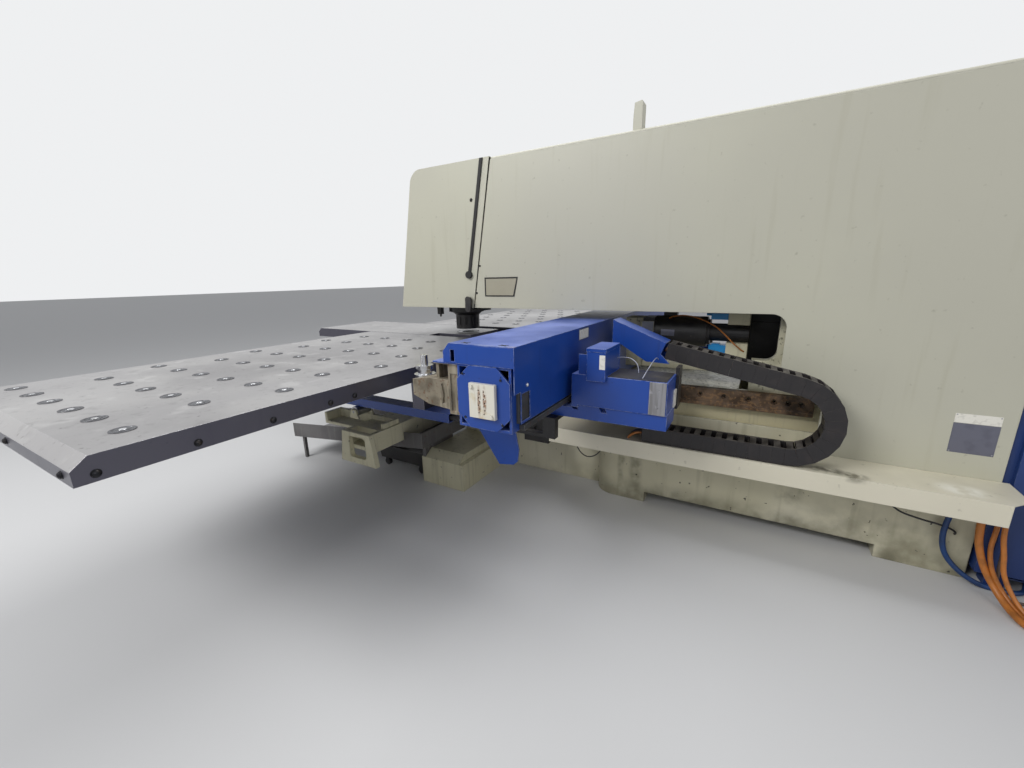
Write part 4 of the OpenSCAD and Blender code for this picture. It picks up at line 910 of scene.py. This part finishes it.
class PRESS_OT_hoses(bpy.types.Operator):
    """Hoses and cables under the chain shelf"""

    bl_idname = "press.hoses"
    bl_label = "Hoses"

    def execute(self, context):
        loop = [
            (1072, -552, SHELF), (1073, -552, 425), (1083, -551, 383), (1106, -550, 345), (1138, -549, 326),
            (1172, -549, 331), (1203, -549, 354), (1226, -550, 390), (1237, -551, 428), (1239, -551, SHELF),
        ]
        hose("shelf_cable_loop", loop, 0.006, "black_cable", "frame")
        blue = [
            (2632, -330, SHELF), (2632, -330, 400), (2623, -331, 300), (2615, -332, 210), (2622, -333, 145),
            (2645, -335, 92), (2690, -340, 45), (2745, -347, 16), (2800, -349, 11), (2848, -345, 11),
            (2885, -318, 11.5), (2900, -285, 24), (2903, -262, INLET),
        ]
        hose("blue_hose", blue, 0.02, "hose_blue_cable", "frame")
        thin = [
            (2385, -331, SHELF), (2388, -331, 400), (2412, -331, 320), (2460, -331, 264), (2530, -331, 243),
            (2590, -331, 235), (2634, -326, 222), (2655, -314, 205), (2660, -300.2, 190),
        ]
        hose("black_cable", thin, 0.008, "black_cable", "frame")
        first = [
            (2686, -400, SHELF), (2686, -400, 380), (2688, -400, 293), (2698, -400, 212), (2726, -402, 125),
            (2758, -418, 62), (2782, -470, 24), (2800, -540, 13.5), (2838, -596, 13), (2894, -615, 13),
            (2950, -585, 13), (2982, -515, 13), (2990, -430, 13), (2986, -350, 13.5), (2978, -296, 20),
            (2972, -262, INLET),
        ]
        hose("orange_hose_a", first, 0.024, "orange_cable", "frame")
        second = [
            (2731, -402, SHELF), (2731, -402, 380), (2731, -402, 290), (2730, -404, 201), (2748, -410, 120),
            (2778, -430, 58), (2806, -480, 20), (2826, -530, 9.5), (2862, -570, 9), (2912, -580, 9),
            (2966, -556, 9), (3008, -500, 9), (3022, -430, 9), (3020, -350, 9.5), (3014, -296, 16),
            (3010, -266, INLET),
        ]
        hose("orange_hose_b", second, 0.016, "orange_cable", "frame")
        third = [
            (2738, -432, SHELF), (2738, -432, 380), (2742, -432, 285), (2756, -434, 205), (2768, -440, 130),
            (2796, -462, 62), (2824, -500, 22), (2850, -532, 9.5), (2890, -548, 9), (2946, -530, 9),
            (3000, -480, 9), (3040, -420, 9), (3052, -350, 9.5), (3048, -296, 16), (3044, -266, INLET),
        ]
        hose("orange_hose_c", third, 0.016, "orange_cable", "frame")
        grey = [
            (2742, -376, SHELF), (2746, -376, 380), (2760, -378, 291), (2771, -382, 200), (2773, -388, 110),
            (2776, -394, 50), (2792, -400, 14), (2836, -404, 7), (2886, -400, 7), (2926, -376, 7),
            (2944, -330, 7.5), (2946, -292, 20), (2946, -268, INLET),
        ]
        hose("grey_cable", grey, 0.012, "grey_cable", "frame")
        return {"FINISHED"}


class PRESS_OT_head(bpy.types.Operator):
    """Hood, latch, ram and tool holders"""

    bl_idname = "press.head"
    bl_label = "Head"

    def execute(self, context):
        wear("cover", "head_hood")
        wear("rubber", "hood_strips")
        wear("black", "latch_bracket", "latch_lever", "upper_tool_holder", "hydraulic_cylinder", "air_nozzle")
        wear("iron", "head_casting", "die_holder")
        wear("bright", "ram")
        wear("steel", "die_ring")
        plug = stud_tree("Hood plug", 0.02, DOMED, "rubber")
        place = at(321, 0, 1706)
        place.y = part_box("head_hood")[0][1]
        studs("hood_plug", [(place, TO_NEAR)], plug, "hood")
        return {"FINISHED"}


class PRESS_OT_tables(bpy.types.Operator):
    """Side tables and centre table with their bolts and inserts"""

    bl_idname = "press.tables"
    bl_label = "Tables"

    def execute(self, context):
        sizes = context.scene.press_sizes
        wear("table", "side_tables", "centre_table")
        wear("blue", "table_tubes")
        # painted shade: the drag bars are black to stand in for the shade under the beam
        wear("black", "drag_bars")
        places = [(Vector(((a.x + b.x) / 2, (a.y + b.y) / 2, a.z)), UP) for a, b in islands("table_inserts")]
        ring = stud_tree("Insert ring", sizes.insert, INSERT_RING, "insert")
        rings = studs("insert_rings", places, ring, "y_carriage")
        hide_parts("table_inserts")
        ball = stud_tree("Insert ball", sizes.insert, INSERT_BALL, "bright")
        studs("insert_balls", places, ball, "y_carriage")
        places = []
        for a, b in islands("table_bolts"):
            mid = (a + b) / 2
            if b.x - a.x < b.y - a.y:
                places.append((Vector((a.x, mid.y, mid.z)), TO_REAR))
            elif mid.y < 0:
                places.append((Vector((mid.x, b.y, mid.z)), TO_NEAR))
            else:
                places.append((Vector((mid.x, a.y, mid.z)), TO_FAR))
        bolt = stud_tree("Rim bolt", sizes.bolt_head, DOMED, "bolt")
        bolts = studs("rim_bolts", places, bolt, "y_carriage")
        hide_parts("table_bolts")
        return {"FINISHED"}


class PRESS_OT_carriage(bpy.types.Operator):
    """Carriage with its box, bracket, motor and wear plates"""

    bl_idname = "press.carriage"
    bl_label = "Carriage"

    def execute(self, context):
        wear("blue", "carriage_saddle", "carriage_box", "chain_bracket")
        wear("wear_plate", "wear_plates")
        wear("black", "x_motor")
        wear("casting", "motor_mount")
        wear("housing", "guide_housings")
        wear("cyan", "air_valves")
        wear("iron", "beam_guide_blocks")
        plate("box_label", at(1314, -906.7, 885), at(1338.5, -906, 945), "label", "y_carriage")
        plate("wing_end_block", at(1585, -755, 717), at(1592, -712, 791), "label", "y_carriage", bevel=0.0015)
        plate("terminal_plate", at(1308.5, -178.8, 959), at(1369.5, -178, 1013), "steel", "y_carriage")
        motor_plate()
        wire = [
            (1440, -130, 1029), (1462, -132, 1040), (1520, -137, 1046), (1590, -146, 1034),
            (1668, -160, 1000), (1720, -168, 958), (1762, -168, 916), (1796, -160, 886), (1812, -150.2, 874),
        ]
        hose("motor_wire", wire, 0.007, "orange_cable", "y_carriage")
        wire = [
            (1340.2, -738, 908), (1366, -738, 912), (1400, -742, 910), (1428, -754, 894), (1440, -766, 874),
            (1443, -772, BOX_TOP),
        ]
        hose("box_wire", wire, 0.0035, "white_cable", "y_carriage")
        wire = [
            (1480, -563.2, 880), (1481, -585, 890), (1485, -640, 900), (1490, -710, 902), (1492, -780, 894),
            (1488, -835, 876), (1482, -866, BOX_TOP),
        ]
        hose("bracket_wire", wire, 0.0035, "white_cable", "y_carriage")
        return {"FINISHED"}


class PRESS_OT_beam(bpy.types.Operator):
    """Cross beam with its cover, end plates, stations and clamps"""

    bl_idname = "press.beam"
    bl_label = "Cross beam"

    def execute(self, context):
        wear("blue", "beam_tube", "beam_cover", "beam_end_plates")
        wear("oil_plate", "oil_plate")
        wear("iron", "beam_rail")
        wear("bronze_iron", "tool_stations")
        wear("bright", "tool_cassettes")
        wear("steel", "near_clamp_jaw", "far_clamp_jaw")
        x = BEAM_REAR
        plate("beam_label_back", at(x, -730, 971), at(x + 0.5, -603, 1023), "plate", "cross_beam")
        plate("beam_label", at(x, -725, 975), at(x + 1, -608, 1019), "label", "cross_beam")
        strip_x = x + 2
        plate("beam_strip", at(x, -690, 741), at(strip_x, -640, 900), "housing", "cross_beam")
        cover_crosses()
        screw = stud_tree("Beam screw", 0.014, DOMED, "bright")
        heads = (x, -1235, 879), (strip_x, -658, 881), (strip_x, -665, 800)
        places = [(at(*head), TO_REAR) for head in heads]
        studs("beam_screws", places, screw, "cross_beam")
        low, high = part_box("beam_end_plates")
        span_x, span_z = high[0] - low[0], high[2] - low[2]
        small = stud_tree("End plate screw", 0.009, SOCKET_SCREW, "rubber")
        places = [
            (Vector((low[0] + u * span_x, y, low[2] + v * span_z)), outward)
            for y, outward in ((low[1], TO_NEAR), (high[1], TO_FAR))
            for u, v in ((0.12, 0.86), (0.84, 0.82), (0.14, 0.16), (0.86, 0.12))
        ]
        studs("end_plate_screws", places, small, "cross_beam")
        return {"FINISHED"}


class PRESS_OT_chain(bpy.types.Operator):
    """Energy chain with the cables in it"""

    bl_idname = "press.chain"
    bl_label = "Energy chain"

    def execute(self, context):
        wear("chain", "chain_lower_run", "chain_bend", "chain_upper_run")
        low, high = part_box("chain_lower_run")
        y, z = (low[1] + high[1]) / 2, (low[2] + high[2]) / 2
        radius, cable = 0.155, 0.018
        centre_x, centre_z = at(2015, 0, 0).x, z + radius
        slope = math.radians(-11.83)
        span = math.pi + slope
        anchor = at(1500, 0, 924)
        for number, shift in enumerate((-0.026, 0.0, 0.026)):
            side = y + shift
            line = [Vector((low[0] + 0.004, side, z)), Vector((centre_x, side, z))]
            tube(f"chain_cable_low_{number}", line, cable, "copper_cable", "frame")
            angles = [span * k / 20 for k in range(21)]
            bend = [
                Vector((centre_x + radius * math.sin(a), side, centre_z - radius * math.cos(a)))
                for a in angles
            ]
            tube(f"chain_cable_bend_{number}", bend, cable, "copper_cable", "chain_bend")
            run = [
                Vector((anchor.x + d * math.cos(slope), side, anchor.z + d * math.sin(slope)))
                for d in (0.004, 0.28, 0.556)
            ]
            tube(f"chain_cable_top_{number}", run, cable, "copper_cable", "y_carriage")
        colours = ("orange_cable", "grey_cable", "hose_blue_cable")
        for number, (shift, label) in enumerate(zip((-28, 0, 26), colours)):
            wire = [
                (1446, -505 + shift, 503), (1424, -505 + shift, 503), (1398, -506 + shift, 500),
                (1374, -508 + shift, 489), (1358, -510 + shift, 474), (1354, -511 + shift, 465.2),
            ]
            hose(f"chain_wire_{number}", wire, 0.011, label, "frame")
        return {"FINISHED"}


def area_light(name, place, target, size, power):
    """A soft rectangular lamp that looks at a point."""
    lamp = bpy.data.lights.new(name, "AREA")
    lamp.shape = "RECTANGLE"
    lamp.size, lamp.size_y = size
    lamp.energy = power
    obj = bpy.data.objects.new(name, lamp)
    bpy.context.scene.collection.objects.link(obj)
    obj.location = place
    obj.rotation_euler = (Vector(target) - Vector(place)).to_track_quat("-Z", "Y").to_euler()


def make_floor(scene):
    """A plain grey floor."""
    bm = bmesh.new()
    bmesh.ops.create_grid(bm, x_segments=1, y_segments=1, size=60.0)
    floor = bpy.data.objects.new("floor", mesh_from(bm, "floor"))
    scene.collection.objects.link(floor)
    m = bpy.data.materials.new("floor_plain")
    m.use_nodes = True
    shader = m.node_tree.nodes["Principled BSDF"]
    shader.inputs["Base Color"].default_value = (0.60, 0.60, 0.60, 1.0)
    shader.inputs["Roughness"].default_value = 0.75
    floor.data.materials.append(m)


def make_world(scene):
    """A pale backdrop for the camera and mirrors, and dimmer light on all else."""
    world = bpy.data.worlds.new("studio")
    scene.world = world
    world.use_nodes = True
    t = world.node_tree
    t.nodes.clear()
    path = add(t, "ShaderNodeLightPath")
    camera_ray, clear_ray = path.outputs["Is Camera Ray"], path.outputs["Is Transmission Ray"]
    direct = add(t, "ShaderNodeMath", {0: camera_ray, 1: clear_ray}, operation="MAXIMUM").outputs[0]
    glossy_ray = path.outputs["Is Glossy Ray"]
    seen = add(t, "ShaderNodeMath", {0: direct, 1: glossy_ray}, operation="MAXIMUM")
    plain = add(t, "ShaderNodeBackground", {"Color": (0.86, 0.87, 0.88, 1.0), "Strength": 1.0})
    soft = add(t, "ShaderNodeBackground", {"Color": (0.80, 0.82, 0.86, 1.0), "Strength": 0.42})
    mix = add(t, "ShaderNodeMixShader", {0: seen.outputs[0], 1: soft.outputs[0], 2: plain.outputs[0]})
    add(t, "ShaderNodeOutputWorld", {"Surface": mix.outputs[0]})


def make_camera(scene):
    """The camera, as solved from the photo's straight edges."""
    lens = bpy.data.cameras.new("view")
    lens.sensor_width = 36.0
    lens.lens = 14.82
    lens.clip_start = 0.05
    lens.clip_end = 200.0
    camera = bpy.data.objects.new("view", lens)
    scene.collection.objects.link(camera)
    right = Vector((0.86525, 0.50096, -0.01942))
    up = Vector((-0.10656, 0.22161, 0.96929))
    back = right.cross(up)
    turn = Matrix((right, up, back)).transposed().to_4x4()
    camera.matrix_world = Matrix.Translation((0.79, -2.55, 1.26)) @ turn
    scene.camera = camera


class PRESS_OT_stage(bpy.types.Operator):
    """Plain floor, soft lamps and the camera"""

    bl_idname = "press.stage"
    bl_label = "Stage"

    def execute(self, context):
        scene = context.scene
        make_floor(scene)
        make_world(scene)
        area_light("key", (-2.6, -5.2, 4.6), (0.0, -0.5, 0.8), (3.2, 2.0), 230.0)
        area_light("top", (-0.6, 0.4, 5.6), (-0.6, 0.0, 0.8), (5.0, 3.0), 150.0)
        area_light("fill", (4.2, -4.4, 2.8), (0.4, 0.0, 0.9), (2.4, 2.4), 30.0)
        make_camera(scene)
        scene.view_settings.view_transform = "Standard"
        return {"FINISHED"}


OPERATORS = (
    PRESS_OT_frame,
    PRESS_OT_hoses,
    PRESS_OT_head,
    PRESS_OT_tables,
    PRESS_OT_carriage,
    PRESS_OT_beam,
    PRESS_OT_chain,
    PRESS_OT_stage,
)


class PRESS_PT_panel(bpy.types.Panel):
    """The machine's pieces"""

    bl_idname = "PRESS_PT_panel"
    bl_label = "Punch press"
    bl_space_type = "VIEW_3D"
    bl_region_type = "UI"
    bl_category = "Punch press"

    def draw(self, context):
        for group_name in ("press_colours", "press_sizes"):
            values = getattr(context.scene, group_name)
            for key in values.__annotations__:
                self.layout.prop(values, key)
        for operator in OPERATORS:
            self.layout.operator(operator.bl_idname)


CLASSES = (PressColours, PressSizes, *OPERATORS, PRESS_PT_panel)


def register():
    """Registers the classes and their settings."""
    for cls in CLASSES:
        bpy.utils.register_class(cls)
    bpy.types.Scene.press_colours = bpy.props.PointerProperty(type=PressColours)
    bpy.types.Scene.press_sizes = bpy.props.PointerProperty(type=PressSizes)


def unregister():
    """Takes the classes and settings out again."""
    del bpy.types.Scene.press_sizes
    del bpy.types.Scene.press_colours
    for cls in reversed(CLASSES):
        bpy.utils.unregister_class(cls)


def main():
    """Builds everything in order."""
    register()
    for make in (make_paints, make_steels, make_irons, make_plastics):
        make()
    for operator in OPERATORS:
        group_name, short = operator.bl_idname.split(".")
        getattr(getattr(bpy.ops, group_name), short)()


if __name__ == "__main__":
    main()
